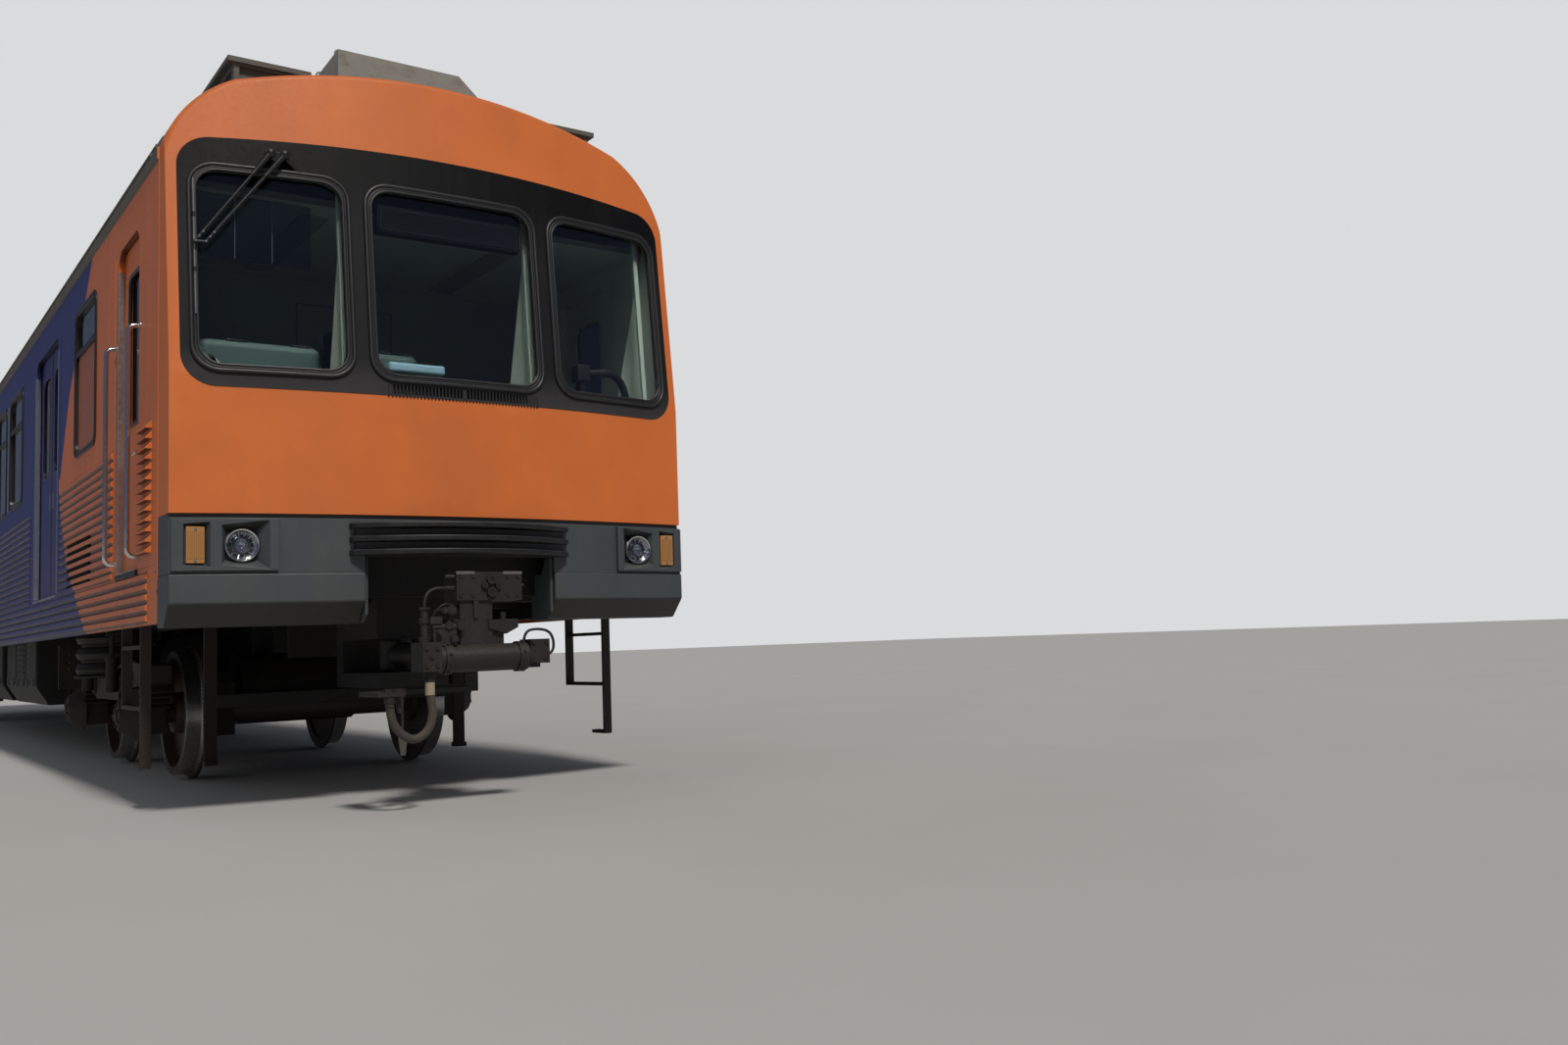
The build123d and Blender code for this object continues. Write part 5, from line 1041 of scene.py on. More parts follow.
add_rod(fittings, on_coupler(-0.520, 0.10, -0.205), on_coupler(-0.508, 0.10, -0.290), 0.013, 12)
add_rod(fittings, on_coupler(-0.520, 0.10, -0.206), on_coupler(-0.518, 0.10, -0.225), 0.019, 6)
add_box(fittings, (-0.425, -0.412), (head_y + 0.306, head_y + 0.312),
        (coupler_z - 0.43, coupler_z - 0.19), 0.002)
tag_middle = -0.419
verts = add_box(fittings, (-0.448, -0.390), (head_y + 0.302, head_y + 0.308),
                (coupler_z - 0.52, coupler_z - 0.40), 0.003, index=scuffed)
for vert in verts:
    if vert.co.z < coupler_z - 0.46:
        vert.co.x = tag_middle + (vert.co.x - tag_middle) * 0.45
place_piece("coupler_fittings", fittings, [cast_grey, bare_metal, satin_black, worn_metal],
            "coupler", "coupler_grey")
print(len(box_bolts + block_bolts + end_bolts), "bolts on the coupler's face")

# %% Pipes of the coupler
pipes = [([(-0.385, 0.07, 0.225), (-0.385, 0.07, 0.290), (-0.350, 0.07, 0.335), (-0.270, 0.08, 0.345),
           (-0.210, 0.09, 0.330)], 0.0085),
         ([(0.165, 0.07, 0.050), (0.170, 0.07, 0.105), (0.240, 0.07, 0.120), (0.320, 0.07, 0.105),
           (0.345, 0.07, 0.040), (0.330, 0.07, -0.020), (0.290, 0.07, -0.022)], 0.0075),
         ([(-0.330, 0.12, 0.180), (-0.300, 0.09, 0.250), (-0.240, 0.09, 0.262), (-0.180, 0.12, 0.240)],
          0.006)]
pipes = [([on_coupler(*spot) for spot in spots], radius, False) for spots, radius in pipes]
tubes("coupler_pipes", pipes, cast_grey, "coupler", "coupler_grey", sides=3, kind="NURBS")
print(len(pipes), "bent pipes")

# %% [markdown]
# ## The brake hose
# One limp, heavy hose hangs in a loop from the coupler to its bracket. It is one smooth NURBS line through
# given control points, the same as the frame's route, with a round bevel. The order and the end
# setting are given after the points, or the line would fall back to straight runs.

# %% Hose
route = [(-0.360, -0.1203), (-0.360, -0.205), (-0.342, -0.300), (-0.370, -0.390), (-0.445, -0.435),
         (-0.525, -0.390), (-0.572, -0.300), (-0.572, -0.2053)]
line = bpy.data.curves.new("hose", "CURVE")
line.dimensions = "3D"
spline = line.splines.new("NURBS")
spline.points.add(len(route) - 1)
for spot, (x, z) in zip(spline.points, route):
    spot.co = (x, head_y + 0.07, coupler_z + z, 1)
spline.order_u = 3
spline.use_endpoint_u = True
spline.resolution_u = 12
line.bevel_depth = 0.022
line.bevel_resolution = 6
line.use_fill_caps = True
line.materials.append(hose_black)
hose = bpy.data.objects.new("brake_hose", line)
bpy.context.collection.objects.link(hose)
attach(hose, "coupler")
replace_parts(hose, "coupler_hose")
sleeves = bmesh.new()
for x, low, high, radius, index in ((-0.3595, -0.208, -0.140, 0.0245, 1),
                                    (-0.3600, -0.140, -0.1215, 0.027, 0),
                                    (-0.5715, -0.240, -0.2065, 0.027, 0),
                                    (-0.5705, -0.262, -0.252, 0.0245, 0)):
    add_turned(sleeves, [(0.0215, low), (radius, low + 0.002), (radius, high - 0.002), (0.0215, high)],
               (x, head_y + 0.07, coupler_z), upwards, 32, index=index)
sleeves = place_piece("hose_sleeves", sleeves, [cast_grey, tape_pale], "coupler", "hose_rubber")
print("the hose falls", -min(z for _, z in route), "metres below the middle of the coupler's face")

# %% [markdown]
# ## Doors and side fittings
# The cab door sits back in its opening, with a bright strip at its rear jamb, a black sill, a lock plate and
# a lever. Each sliding leaf has a rubber edge and a gasket round its window. The lower pane of the cab's side
# window is covered in the colour of the body, and below it six black plates sunk between the flutes are
# painted shade for the slots that let air in.
# A rib covers each seam of wall and skirt. Everything on a leaf rides on that leaf.

# %% Trim of the sides
trim = bmesh.new()
jamb = (floor_top + 0.02, above(3.10))


def plate(bm, way, x, y, z, bevel=0.001, index=0):
    """A thin box on one side of the car, by its spans out from the middle, back from the mask and up."""
    return add_box(bm, (way * x[0], way * x[1]), (along(y[0]), along(y[1])), z, bevel, index=index)


for way in (1, -1):
    plate(trim, way, (1.4995, 1.5035), (1.384, 1.410), jamb)
    plate(trim, way, (1.466, 1.4995), (1.3795, 1.3815), jamb)
    plate(trim, way, (1.466, 1.514), (0.765, 1.375), (floor_top - 0.030, floor_top + 0.004), 0.004, 1)
    plate(trim, way, (1.500, 1.517), (0.765, 1.375), (floor_top + 0.001, floor_top + 0.006), 0.002)
    for middle in doorways:
        plate(trim, way, (1.466, 1.512), (middle - 0.59, middle + 0.59),
              (floor_top - 0.012, floor_top + 0.004), 0.002)
        for turn in (-1, 1):
            edge = middle + turn * 0.595
            plate(trim, way, (1.4995, 1.5030), (edge, edge + turn * 0.032), jamb)
            plate(trim, way, (1.468, 1.4995), (edge, edge - turn * 0.002), jamb)
    for middle in bay_middles:
        plate(trim, way, (1.4995, 1.507), (middle - 0.035, middle + 0.035), (above(2.20), above(3.17)), 0.003)
    # Six black plates sunk between the flutes below the cab's side window: painted shade standing for the
    # vent's open slots.
    for i in range(-1, 5):
        z = above(1.345) + i * 0.056
        plate(trim, way, (1.500, 1.5088), (2.30, 3.22), (z + 0.0126, z + 0.0434), index=3)
    for y in (0.30, 0.34):
        spot = (way * 1.4995, along(y - 0.05), above(1.20) + (y - 0.32) * 2.5)
        add_rod(trim, spot, (way * 1.5015, spot[1], spot[2]), 0.008, 12, index=2)
    for y in (0.73, 1.415):
        for z in (1.36, 2.64):
            add_turned(trim, [(0.010, 0.0), (0.024, 0.0), (0.024, 0.005), (0.010, 0.008)],
                       (way * 1.5, along(y), above(z)), (way, 0, 0), 24)
place_piece("side_trim", trim, [stainless, rubber, satin_black, sign_black_and_slot_shade], "car_body", "rail_chrome")
print("strips, sills and slots on both sides")

# %% Ribs over the seams
seam_ribs = bmesh.new()
seam_z = above(1.297)
clear = 0.845
starts = [1.52] + [doorway + clear for doorway in doorways]
stops = [first_doorway - 0.785] + [doorway - clear for doorway in doorways[1:]] + [21.59]
for way in (1, -1):
    for span in zip(starts, stops):
        verts = plate(seam_ribs, way, (1.4995, 1.512), span, (seam_z - 0.0224, seam_z + 0.0224), 0.0)
        for vert in verts:
            if abs(vert.co.x) > 1.505:
                vert.co.z = seam_z + math.copysign(0.0123, vert.co.z - seam_z)
place_piece("seam_ribs", seam_ribs, side_paint, "car_body", "body_orange")
print(2 * len(starts), "ribs")

# %% Films and joints
films = bmesh.new()
film_top = above(2.873)
for way in (1, -1):
    outline = round_outline(along(2.552), (window_low + 0.034 + film_top) / 2, 0.835 - 0.072,
                            film_top - window_low - 0.036, 0.06, steps=4, straight=1)
    face = films.faces.new([films.verts.new((way * 1.4868, y, z)) for y, z in outline])
    grown = bmesh.ops.extrude_face_region(films, geom=[face])["geom"]
    bmesh.ops.translate(films, vec=(way * 0.0012, 0, 0),
                        verts=[v for v in grown if isinstance(v, bmesh.types.BMVert)])
bmesh.ops.recalc_face_normals(films, faces=films.faces)
place_piece("cab_window_films", films, film_paint, "car_body", "body_orange")
beads = bmesh.new()
for way in (1, -1):
    for y in (3.66, 1.475):
        plate(beads, way, (1.4995, 1.5035), (y - 0.004, y + 0.004), (above(1.30), above(3.20)), 0.0015)
place_piece("panel_joints", beads, side_paint, "car_body", "body_orange")
print("films and joints on both sides")

# %% Cab doors
for side, way in (("left", -1), ("right", 1)):
    name = "cab_door_" + side
    lock = bmesh.new()
    x = way * 1.465
    plate(lock, way, (1.464, 1.469), (0.83, 0.875), (above(1.84), above(2.00)), 0.002)
    add_rod(lock, (x, along(0.853), above(1.955)), (x + way * 0.034, along(0.853), above(1.955)), 0.010,
            16, index=1)
    add_rod(lock, (x + way * 0.030, along(0.848), above(1.957)),
            (x + way * 0.028, along(0.950), above(1.950)), 0.008, 12, index=1)
    add_rod(lock, (x, along(0.853), above(1.88)), (x + way * 0.007, along(0.853), above(1.88)), 0.011,
            16, index=1)
    place_piece(name + "_lock", lock, [satin_black, chrome], name, "rail_chrome")
    gasket = side_loop(way * 1.4645, along(1.045), above(2.585), 0.354, 0.884, 0.057, 0.010)
    tubes(name + "_gasket", [gasket], rubber, name, "seal_rubber", sides=3)
print("two cab doors")

# %% Sliding leaves
leaf_face, leaf_width = 1.460, 0.6075
for i, centre in enumerate(doorways, start=1):
    for side, way in (("left", -1), ("right", 1)):
        for end, turn in (("front", -1), ("back", 1)):
            name = f"door_{i}_{side}_{end}"
            near = centre + turn * 0.0025
            edge = bmesh.new()
            plate(edge, way, (1.431, leaf_face + 0.0018), (near - turn * 0.0012, near + turn * 0.024),
                  (floor_top + 0.008, above(3.205)), 0.0015)
            plate(edge, way, (leaf_face, leaf_face + 0.0022), (near + turn * 0.06, near + turn * 0.10),
                  (above(1.98), above(2.10)), index=1)
            place_piece(name + "_edge", edge, [rubber, stainless], name, "seal_rubber")
            middle = along(near) + turn * (leaf_width / 2 - 0.0075)
            gasket = side_loop(way * (leaf_face - 0.003), middle, above(2.65), 0.350, 0.800, 0.085, 0.0055)
            tubes(name + "_gasket", [gasket], rubber, name, "seal_rubber", sides=3)
print("trimmed", len(leaves), "sliding leaves")

# %% [markdown]
# ## Bogie fittings
# A bogie is a dusty welded frame hung with small heavy things: caps with rings of bolts on the axle boxes,
# packs of rubber and steel beside them, dampers, and air springs with bulging bellows. They ride on the
# bogie and turn with it under the car.

# %% Bogies
axle_z = above(0.43)
half_wheelbase = 1.1
damper_x = 1.185


def bolt_circle(x, y, z, radius, count):
    """Places round a circle on one side of a bogie."""
    angles = [2 * math.pi * (i + 0.5) / count for i in range(count)]
    return [(x, y + radius * math.cos(angle), z + radius * math.sin(angle)) for angle in angles]


for name, centre, way in (("bogie_front", along(3.95), 1), ("bogie_back", -along(3.95), -1)):
    iron = bmesh.new()
    bellows = bmesh.new()
    for side in (-1, 1):
        for y in (centre - half_wheelbase, centre + half_wheelbase):
            hub = Vector((side * 1.235, y, axle_z))
            add_turned(iron, [(0.0, -0.01), (0.098, -0.01), (0.098, 0.008), (0.086, 0.014), (0.040, 0.016),
                              (0.036, 0.026), (0.0, 0.028)], hub, (side, 0, 0), 36)
            add_bolts(iron, bolt_circle(hub.x + side * 0.012, y, axle_z, 0.070, 6), (side, 0, 0), 0.012,
                      0.012)
            add_bolts(iron, bolt_circle(side * 1.131, y, axle_z, 0.162, 8), (side, 0, 0), 0.010, 0.020)
            for leg in (-1, 1):
                lean = Matrix.Rotation(math.radians(-38 * leg), 3, "X")
                for k in range(4):
                    middle = Vector((side * 1.05, y + leg * (0.158 + 0.024 * k), axle_z + 0.075 + 0.036 * k))
                    add_box(iron, (middle.x - 0.098, middle.x + 0.098), (middle.y - 0.055, middle.y + 0.055),
                            (middle.z - 0.006, middle.z + 0.006), 0.002, turn=lean)
        for turn in (-1, 1):
            y = centre + turn * 0.52
            for low, high, radius, sides in ((0.58, 0.82, 0.040, 20), (0.82, 1.02, 0.016, 12),
                                             (0.80, 0.83, 0.046, 20)):
                add_rod(iron, (side * damper_x, y, above(low)), (side * damper_x, y, above(high)),
                        radius, sides)
            for z in (0.60, 1.00):
                add_rod(iron, (side * 1.10, y, above(z)), (side * 1.225, y, above(z)), 0.020, 12)
            add_box(iron, (side * 1.125, side * 1.145), (y - 0.06, y + 0.06),
                    (above(0.56), above(0.70)), 0.004)
        for z in (0.745, 0.86, 0.975):
            add_turned(bellows, [(0.245, -0.050), (0.275, -0.040), (0.292, 0.0), (0.275, 0.040),
                                 (0.245, 0.050)], (side * 1.05, centre, above(z)), upwards, 48)
        add_turned(bellows, [(0.0, -0.012), (0.300, -0.012), (0.300, 0.004), (0.0, 0.004)],
                   (side * 1.05, centre, above(0.694)), upwards, 48)
        plate_y = centre + way * 0.80
        heads = [(side * x, plate_y - way * 0.012, above(z)) for x in (1.17, 1.25, 1.325)
                 for z in (0.63, 0.91)]
        add_bolts(iron, heads, (0, -way, 0), 0.010, 0.010)
        for k in range(5):
            y = centre + way * (0.80 + 0.02)
            add_box(iron, (side * (1.16 + k * 0.04), side * (1.17 + k * 0.04)), (y, y + way * 0.05),
                    (above(0.60), above(0.68)), 0.002)
        for y in (-0.95, -0.35, 0.35, 0.95):
            add_box(iron, (side * 1.128, side * 1.136), (centre + y - 0.05, centre + y + 0.05),
                    (above(0.66), above(0.72)), 0.002)
            add_bolts(iron, [(side * 1.136, centre + y + d, above(0.69)) for d in (-0.03, 0.03)],
                      (side, 0, 0), 0.009, 0.008)
    place_piece(name + "_fittings", iron, bogie_steel, name, "bogie_steel")
    place_piece(name + "_bellows", bellows, frame_black, name, "bogie_steel")
    runs = []
    for side in (-1, 1):
        runs.append(([(side * 1.15, centre + y, above(z)) for y,
                      z in ((-1.36, 0.77), (-0.86, 0.81), (-0.62, 0.745), (0.62, 0.745), (0.86, 0.81),
                            (1.36, 0.77))], 0.011, False))
        for y in (centre - half_wheelbase, centre + half_wheelbase):
            runs.append(([(side * 1.12, y + 0.10, above(0.70)), (side * 1.20, y + 0.16, above(0.62)),
                          (side * 1.22, y + 0.10, above(0.52)), (side * 1.19, y + 0.04, above(0.47))],
                         0.009, False))
    tubes(name + "_pipes", runs, bogie_steel, name, "bogie_steel", sides=3, kind="NURBS")
print("fitted out two bogies")

# %% [markdown]
# ## Under the floor
# The equipment boxes have lids along their outer sides, with hinges above and catches below. Air pipes run
# along the car, and steel straps hold the air tanks.

# %% Underfloor fittings
boxes = [(-1, 6.5, 8.7, 0.43), (-1, 9.1, 11.6, 0.43), (-1, 12.1, 14.9, 0.48), (1, 6.5, 9.4, 0.43),
         (1, 9.8, 12.2, 0.48), (1, 12.7, 14.9, 0.43)]
lids = bmesh.new()
for way, start, end, foot in boxes:
    count = round((end - start) / 0.72)
    pitch = (end - start) / count
    for i in range(count):
        y0, y1 = along(start + i * pitch + 0.025), along(start + (i + 1) * pitch - 0.025)
        low, high = above(foot + 0.18), above(1.06)
        add_box(lids, (way * 1.288, way * 1.298), (y0, y1), (low, high), 0.004)
        if i % 3 == 1:
            for k in range(7):
                z = low + 0.10 + k * 0.052
                add_box(lids, (way * 1.296, way * 1.305), (y0 + 0.08, y1 - 0.08), (z, z + 0.028), 0.006)
        for share in (0.2, 0.8):
            y = y0 + (y1 - y0) * share
            add_rod(lids, (way * 1.302, y - 0.04, high + 0.002), (way * 1.302, y + 0.04, high + 0.002),
                    0.009, 10)
            add_box(lids, (way * 1.297, way * 1.309), (y - 0.018, y + 0.018),
                    (low - 0.010, low + 0.055), 0.003, index=1)
for y0, y1 in ((6.7, 8.6), (12.8, 14.7)):
    for y in (y0 + 0.3, y1 - 0.3):
        add_turned(lids, [(0.229, -0.03), (0.234, -0.03), (0.234, 0.03), (0.229, 0.03)],
                   (0, along(y), above(0.8)), to_back, 48)
    for y, turn in ((y0, -1), (y1, 1)):
        add_turned(lids, [(0.0, 0.055), (0.10, 0.048), (0.18, 0.028), (0.225, 0.0), (0.0, 0.0)],
                   (0, along(y), above(0.8)), (0, turn, 0), 40)
place_piece("underfloor_lids", lids, [frame_black, worn_metal], "car_body", "frame_black")
runs = [([(x, along(2.0), above(z)), (x, along(11.0), above(z)), (x, along(19.9), above(z))], radius,
         False) for x, z, radius in ((-0.47, 1.06, 0.016), (-0.42, 1.06, 0.012), (0.46, 1.06, 0.016),
                                     (0.50, 1.05, 0.009))]
tubes("floor_pipes", runs, frame_black, "car_body", "frame_black", sides=3)
print("lids on", len(boxes), "boxes")

# %% [markdown]
# ## On the roof
# From below only edges show, but from above the roof is busy: bolted duct lids, panels of bars along the
# equipment box, a can with rows of holes, and the pantograph on ribbed porcelain insulators with its two
# lifting springs. The bars and the bolts are loops, because each is a simple thing at a regular pitch.

# %% Roof fittings
roofing = bmesh.new()
for way in (1, -1):
    for i in range(56):
        add_bolts(roofing, [(way * 1.105, along(0.50 + i * 0.365), above(4.125))], upwards, 0.008, 0.007)
    for i in range(20):
        y = along(half_length + (i - 9.5) * 0.62)
        for k in range(8):
            spot = y - 0.235 + k * 0.067
            add_box(roofing, (way * 0.812, way * 0.824), (spot - 0.006, spot + 0.006),
                    (above(4.165), above(4.365)))
for i in range(18):
    y = along(half_length + (i - 8.5) * 0.70)
    add_box(roofing, (-0.72, 0.72), (y - 0.31, y + 0.31), (above(4.418), above(4.432)), 0.004)
    add_bolts(roofing, [(x, y + d, above(4.432)) for x in (-0.68, 0.68) for d in (-0.27, 0.27)],
              upwards, 0.009, 0.006)
for x in (-0.36, 0.36):
    for y in (0.84, 1.22):
        add_turned(roofing, [(0.018, -0.006), (0.030, 0.0), (0.018, 0.006)],
                   (x, along(y), above(4.505)), to_back, 20)
slope_bolts = [(x, along(0.45) - 0.002 + 0.08 * 0.31, above(4.15) + 0.08 * 0.35) for x in (-0.455, 0.455)]
add_bolts(roofing, slope_bolts, (0, -0.75, 0.66), 0.009, 0.007)
for way in (1, -1):
    foot_bolts = [(way * 0.477, along(0.50 + 0.11 * i), above(4.185)) for i in range(8)]
    add_bolts(roofing, foot_bolts, (way, 0, 0.28), 0.009, 0.008)
place_piece("roof_fittings", roofing, unit_paint, "car_body", "roof_units_grey")
print("bolts, bars and lids on the roof")

# %% Can, insulators and springs
can = bmesh.new()
can_middle = Vector((-0.45, along(1.75), 0))
for z in (4.22, 4.30, 4.38, 4.46):
    for i in range(18):
        angle = math.radians(20 * i + (10 if z in (4.30, 4.46) else 0))
        out = Vector((math.cos(angle), math.sin(angle), 0))
        spot = can_middle + out * 0.2095 + Vector((0, 0, above(z)))
        add_rod(can, spot, spot + out * 0.0015, 0.018, 12, index=1)
add_turned(can, [(0.0, 0.0), (0.222, 0.0), (0.222, 0.018), (0.200, 0.030), (0.06, 0.040), (0.0, 0.041)],
           can_middle + Vector((0, 0, above(4.568))), upwards, 48)
add_turned(can, [(0.209, 0.0), (0.235, 0.0), (0.235, 0.012), (0.209, 0.012)],
           can_middle + Vector((0, 0, above(4.14))), upwards, 48)
place_piece("can_fittings", can, [can_red, satin_black], "car_body", "roof_units_grey")
sheds = bmesh.new()
pivot_y = along(3.10)
for x in (-0.40, 0.40):
    for y in (pivot_y - 0.50, pivot_y + 0.38):
        for k in range(5):
            add_turned(sheds, [(0.054, 0.0), (0.088, -0.006), (0.090, -0.002), (0.060, 0.020),
                               (0.054, 0.022)], (x, y, above(4.075) + 0.034 * k), upwards, 32)
        add_turned(sheds, [(0.0, 0.0), (0.068, 0.0), (0.068, 0.020), (0.0, 0.020)], (x, y, 4.258), upwards,
                   28, index=1)
place_piece("insulators", sheds, [porcelain, pan_paint], "car_body", "pantograph_paint")
coils = []
turns, steps = 16, 10
spring_z, spring_radius = 4.378, 0.030
for x in (-0.11, 0.11):
    coils.append(([(x + spring_radius * math.cos(2 * math.pi * i / steps),
                    pivot_y - 0.56 + 0.44 * i / (turns * steps),
                    spring_z + spring_radius * math.sin(2 * math.pi * i / steps))
                   for i in range(turns * steps + 1)], 0.005, False))
    coils.append(([(x, pivot_y - 0.60, spring_z), (x, pivot_y - 0.05, spring_z)], 0.009, False))
tubes("lifting_springs", coils, pan_paint, "car_body", "pantograph_paint", thickness=0.005, sides=2)
print("a can, four insulators and two springs")

# %% [markdown]
# ## The back end
# The back end is plain: a door with a window and a handle, a rail on each side of it, and beyond the rails
# sockets for the cables and four steps.

# %% End wall
back = half_length
end = bmesh.new()
for way in (1, -1):
    rail_x, socket_x, rung_x = way * 0.52, way * 0.95, way * 1.25
    for z in (1.52, 2.55):
        add_rod(end, (rail_x, back - 0.002, above(z)), (rail_x, back + 0.055, above(z)), 0.010, 14)
        add_turned(end, [(0.010, 0.0), (0.024, 0.0), (0.024, 0.005), (0.010, 0.007)],
                   (rail_x, back, above(z)), to_back, 24)
    add_rod(end, (rail_x, back + 0.055, above(1.50)), (rail_x, back + 0.055, above(2.57)), 0.014, 16)
    for z in (1.50, 1.78):
        add_box(end, (socket_x - 0.11, socket_x + 0.11), (back - 0.002, back + 0.09),
                (above(z), above(z + 0.20)), 0.012, 3, index=1)
        add_rod(end, (socket_x, back + 0.08, above(z + 0.10)),
                (socket_x, back + 0.115, above(z + 0.085)), 0.062, 24, index=1)
        add_bolts(end, [(socket_x + dx, back + 0.09, above(z + dz)) for dx in (-0.09, 0.09)
                        for dz in (0.02, 0.18)], to_back, 0.008, 0.006)
    for i in range(4):
        z = above(1.40 + i * 0.36)
        add_box(end, (rung_x - 0.14, rung_x + 0.14), (back + 0.050, back + 0.075), (z, z + 0.022),
                0.004, index=1)
        for x in (rung_x - 0.13, rung_x + 0.13):
            add_rod(end, (x, back - 0.002, z + 0.011), (x, back + 0.055, z + 0.011), 0.008, 10, index=1)
place_piece("end_fittings", end, [stainless, satin_black], "car_body", "rail_chrome")
print("rails, sockets and steps on the end wall")

# %% Fittings of the end door
handle = bmesh.new()
add_box(handle, (0.27, 0.32), (back - 0.0255, back - 0.020), (above(1.90), above(2.06)), 0.002)
add_rod(handle, (0.295, back - 0.024, above(2.0)), (0.295, back + 0.012, above(2.0)), 0.010, 14)
add_rod(handle, (0.300, back + 0.008, above(2.0)), (0.190, back + 0.008, above(2.0)), 0.008, 12)
place_piece("end_door_lock", handle, chrome, "end_door", "rail_chrome")
outline = round_outline(0.0, above(2.60), 0.394, 0.844, 0.057, steps=5, straight=1)
tubes("end_door_gasket", [([(x, back - 0.0235, z) for x, z in outline], 0.010, True)], rubber,
      "end_door", "seal_rubber", sides=3)
print("one end door")

# %% [markdown]
# ## Seats and saloon
# The benches and the driver's chair are padded, so each pad is a box that is cut into a fine grid, crowned
# in the middle and pulled in at its edges and seams, and then smoothed. Bars run along the ceiling between
# the poles, and the floor has its own covering.

# %% Pads
def add_pad(bm, corner, along_a, along_b, through, crown, seams=()):
    """A stuffed pad: a corner, two edges and its thickness, as vectors. It swells by a crown, pulls in at its
    sides and dips at its seams, which are shares of its first edge."""
    pad = bmesh.new()
    bmesh.ops.create_cube(pad, size=1, matrix=Matrix.Translation((0.5, 0.5, 0.5)))
    cuts_a = 15 if seams else 9
    long_edges = [e for e in pad.edges if abs(e.verts[0].co.x - e.verts[1].co.x) > 0.5]
    bmesh.ops.subdivide_edges(pad, edges=long_edges, cuts=cuts_a, use_grid_fill=True)
    cross_edges = [e for e in pad.edges if abs(e.verts[0].co.y - e.verts[1].co.y) > 0.5]
    bmesh.ops.subdivide_edges(pad, edges=cross_edges, cuts=7, use_grid_fill=True)
    rims = [e for e in pad.edges if e.calc_face_angle(0.0) > math.radians(50)]
    bmesh.ops.bevel(pad, geom=rims, offset=0.06, offset_type="OFFSET", segments=3, profile=0.5,
                    affect="EDGES", clamp_overlap=True, material=-1)
    thickness = through.length
    for vert in pad.verts:
        a, b, c = vert.co
        swell = (max(0.0, 1 - (2 * a - 1) ** 4) * max(0.0, 1 - (2 * b - 1) ** 2)) ** 0.6
        dip = max([math.exp(-((a - seam) / 0.012) ** 2) for seam in seams], default=0.0)
        lift = crown * (swell - 1 - dip * 0.8) / thickness if c > 0.5 else 0.0
        pull = 0.012 * (1 - (2 * a - 1) ** 2)
        b = 0.5 + (b - 0.5) * (1 - pull)
        vert.co = corner + along_a * a + along_b * b + through * (c + lift)
    bmesh.ops.recalc_face_normals(pad, faces=pad.faces)
    join(bm, pad)


print("a pad starts as a cube")

# %% Benches and the driver's chair
bench_bays = [(4.975, 8.695), (9.885, 13.605), (14.795, 18.515), (19.705, 21.84)]
pads = bmesh.new()
stands = bmesh.new()
piping = []
for start, end in bench_bays:
    y0, y1 = along(start + 0.21), along(end - 0.21)
    length = y1 - y0
    places = max(2, round(length / 0.47))
    seams = [i / places for i in range(1, places)]
    for way in (1, -1):
        run = Vector((0, length, 0))
        add_pad(pads, Vector((way * 0.955, y0, 1.722)), run, Vector((way * 0.37, 0, 0.004)),
                Vector((0, 0, 0.064)), 0.020, seams)
        add_pad(pads, Vector((way * 1.332, y0, 1.800)), run, Vector((way * 0.040, 0, 0.395)),
                Vector((-way * 0.050, 0, 0.005)), 0.016, seams)
        add_box(stands, (way * 1.378, way * 1.390), (y0 + 0.01, y1 - 0.01), (floor_top + 0.001, 2.190), 0.004)
        add_box(stands, (way * 0.97, way * 1.385), (y0 + 0.01, y1 - 0.01), (1.702, 1.720), 0.004)
        for y in (y0 + 0.012, (y0 + y1) / 2, y1 - 0.012):
            add_box(stands, (way * 1.05, way * 1.385), (y - 0.008, y + 0.008),
                    (floor_top + 0.001, 1.704), 0.003)
        for y in (y0 + 0.004, y1 - 0.004):
            piping.append(([(way * 0.970, y, 1.72), (way * 0.970, y, 1.92), (way * 1.02, y, 1.97),
                            (way * 1.37, y, 1.97)], 0.012, False))
add_pad(pads, Vector((-0.735, along(1.05), 1.802)), Vector((0.43, 0, 0)), Vector((0, 0.43, 0)),
        Vector((0, 0, 0.084)), 0.022)
add_pad(pads, Vector((-0.735, along(1.505), 1.895)), Vector((0.43, 0, 0)), Vector((0, 0.075, 0.640)),
        Vector((0, -0.075, 0.009)), 0.022)
add_box(stands, (-0.73, -0.31), (along(1.08), along(1.47)), (1.786, 1.802), 0.004)
add_turned(stands, [(0.0, 0.001), (0.16, 0.001), (0.16, 0.012), (0.05, 0.022), (0.04, 0.05), (0.04, 0.40),
                    (0.06, 0.468), (0.0, 0.468)], (-0.52, along(1.28), floor_top), upwards, 32)
pads = place_piece("seat_pads", pads, seat_vinyl, "car_body", "seat_vinyl", smooth=70, weighted=False)
place_piece("seat_stands", stands, stainless, "car_body", "rail_chrome")
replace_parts(pads, "seats")
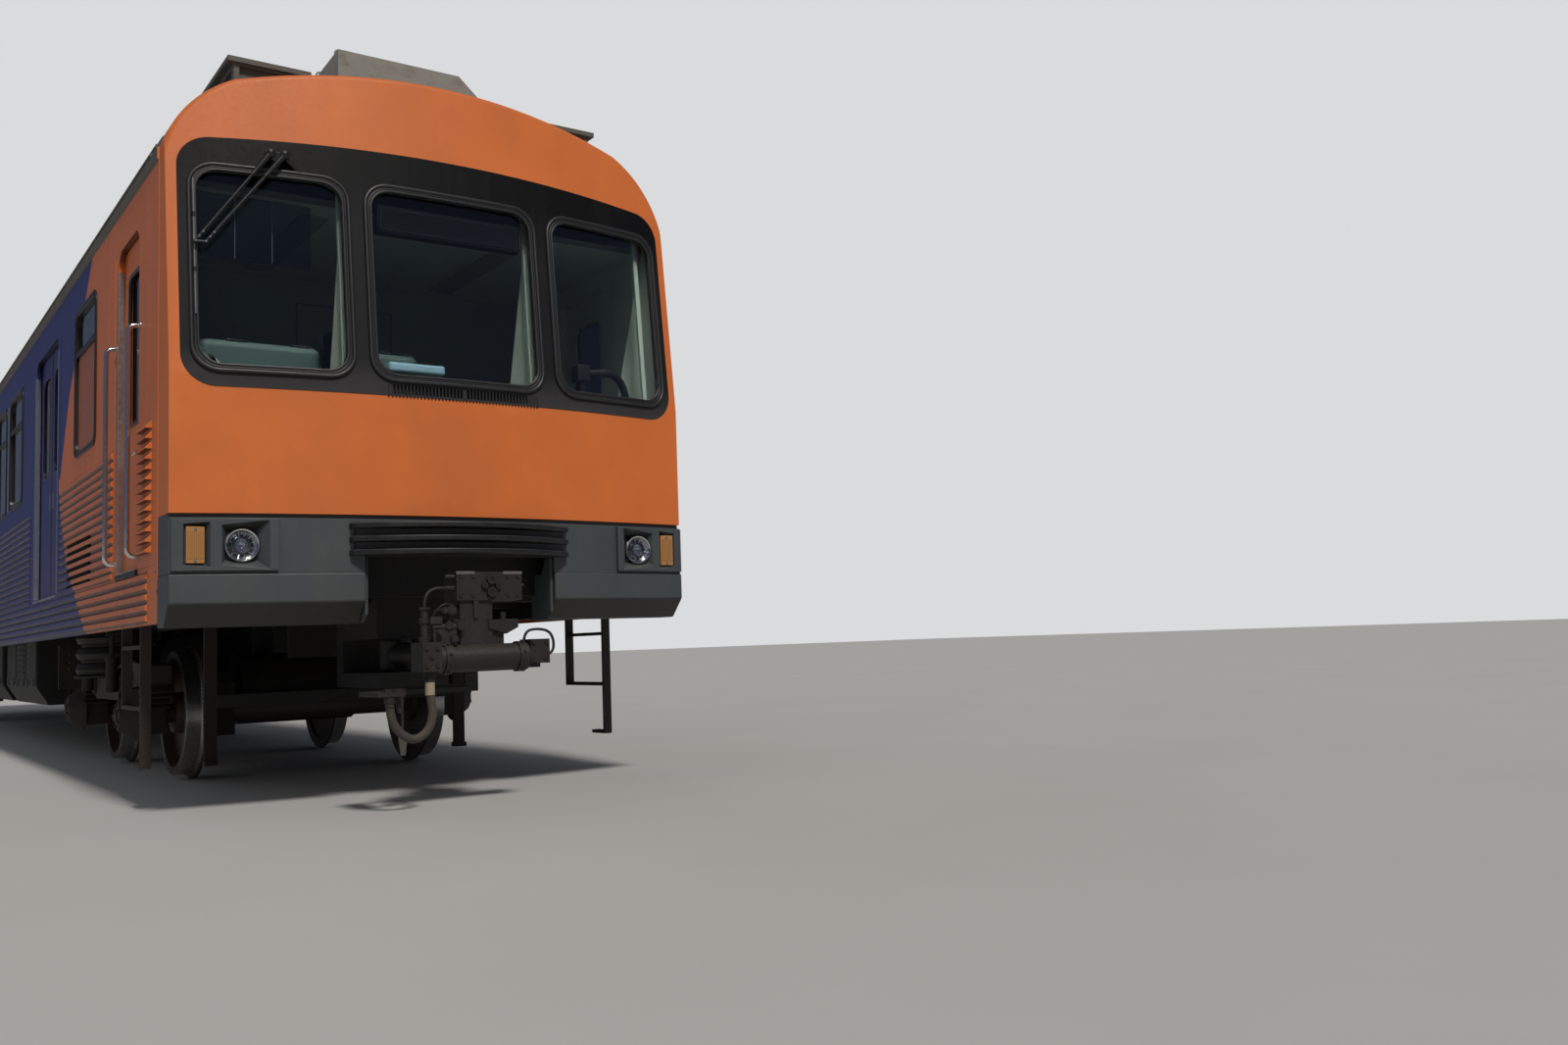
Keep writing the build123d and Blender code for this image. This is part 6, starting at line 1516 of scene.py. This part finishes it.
tubes("bench_arms", piping, stainless, "car_body", "rail_chrome", thickness=0.012, sides=3)
print(2 * len(bench_bays), "benches and a chair")

# %% Saloon
saloon = bmesh.new()
floor_low, floor_high = floor_top + 0.0005, floor_top + 0.003
add_box(saloon, (-0.94, 0.94), (along(1.95), along(21.80)), (floor_low, floor_high), 0.001)
for middle in doorways:
    for way in (1, -1):
        plate(saloon, way, (0.95, 1.39), (middle - 0.55, middle + 0.55), (floor_low, floor_high))
        for i in range(8):
            x = 0.985 + 0.052 * i
            plate(saloon, way, (x - 0.012, x + 0.012), (middle - 0.53, middle + 0.53),
                  (floor_high - 0.0005, floor_high + 0.003), 0.0012, 1)
place_piece("floor_covering", saloon, [floor_lino, rubber], "car_body", "frame_black")
sockets = bmesh.new()
for x in (-0.88, 0.88):
    for middle in doorways:
        for y in (middle - 0.70, middle + 0.70):
            add_turned(sockets, [(0.016, 0.0), (0.036, 0.0), (0.034, 0.014), (0.020, 0.030), (0.016, 0.030)],
                       (x, along(y), floor_top + 0.003), upwards, 20)
place_piece("pole_sockets", sockets, stainless, "car_body", "rail_chrome")
bars = [([(x, along(2.2), above(3.20)), (x, along(11.8), above(3.20)), (x, along(21.6), above(3.20))],
         0.014, False) for x in (-0.88, 0.88)]
tubes("ceiling_bars", bars, stainless, "car_body", "rail_chrome", thickness=0.014, sides=3)
print("seated the saloon")

# %% [markdown]
# ## The stage
# A plain pale floor, wide enough to fill every view.

# %% Floor
bm = bmesh.new()
bmesh.ops.create_grid(bm, x_segments=1, y_segments=1, size=150)
mesh = bpy.data.meshes.new("floor")
bm.to_mesh(mesh)
bm.free()
floor = bpy.data.objects.new("floor", mesh)
bpy.context.collection.objects.link(floor)
pale = bpy.data.materials.new("pale_floor")
pale.use_nodes = True
tree = pale.node_tree
shader = tree.nodes["Principled BSDF"]
put(tree, mix(tree, noise(tree, 0.6), (0.44, 0.44, 0.43), (0.50, 0.50, 0.49)), shader.inputs["Base Color"])
put(tree, 0.8, shader.inputs["Roughness"])
mesh.materials.append(pale)
print("the floor is laid")
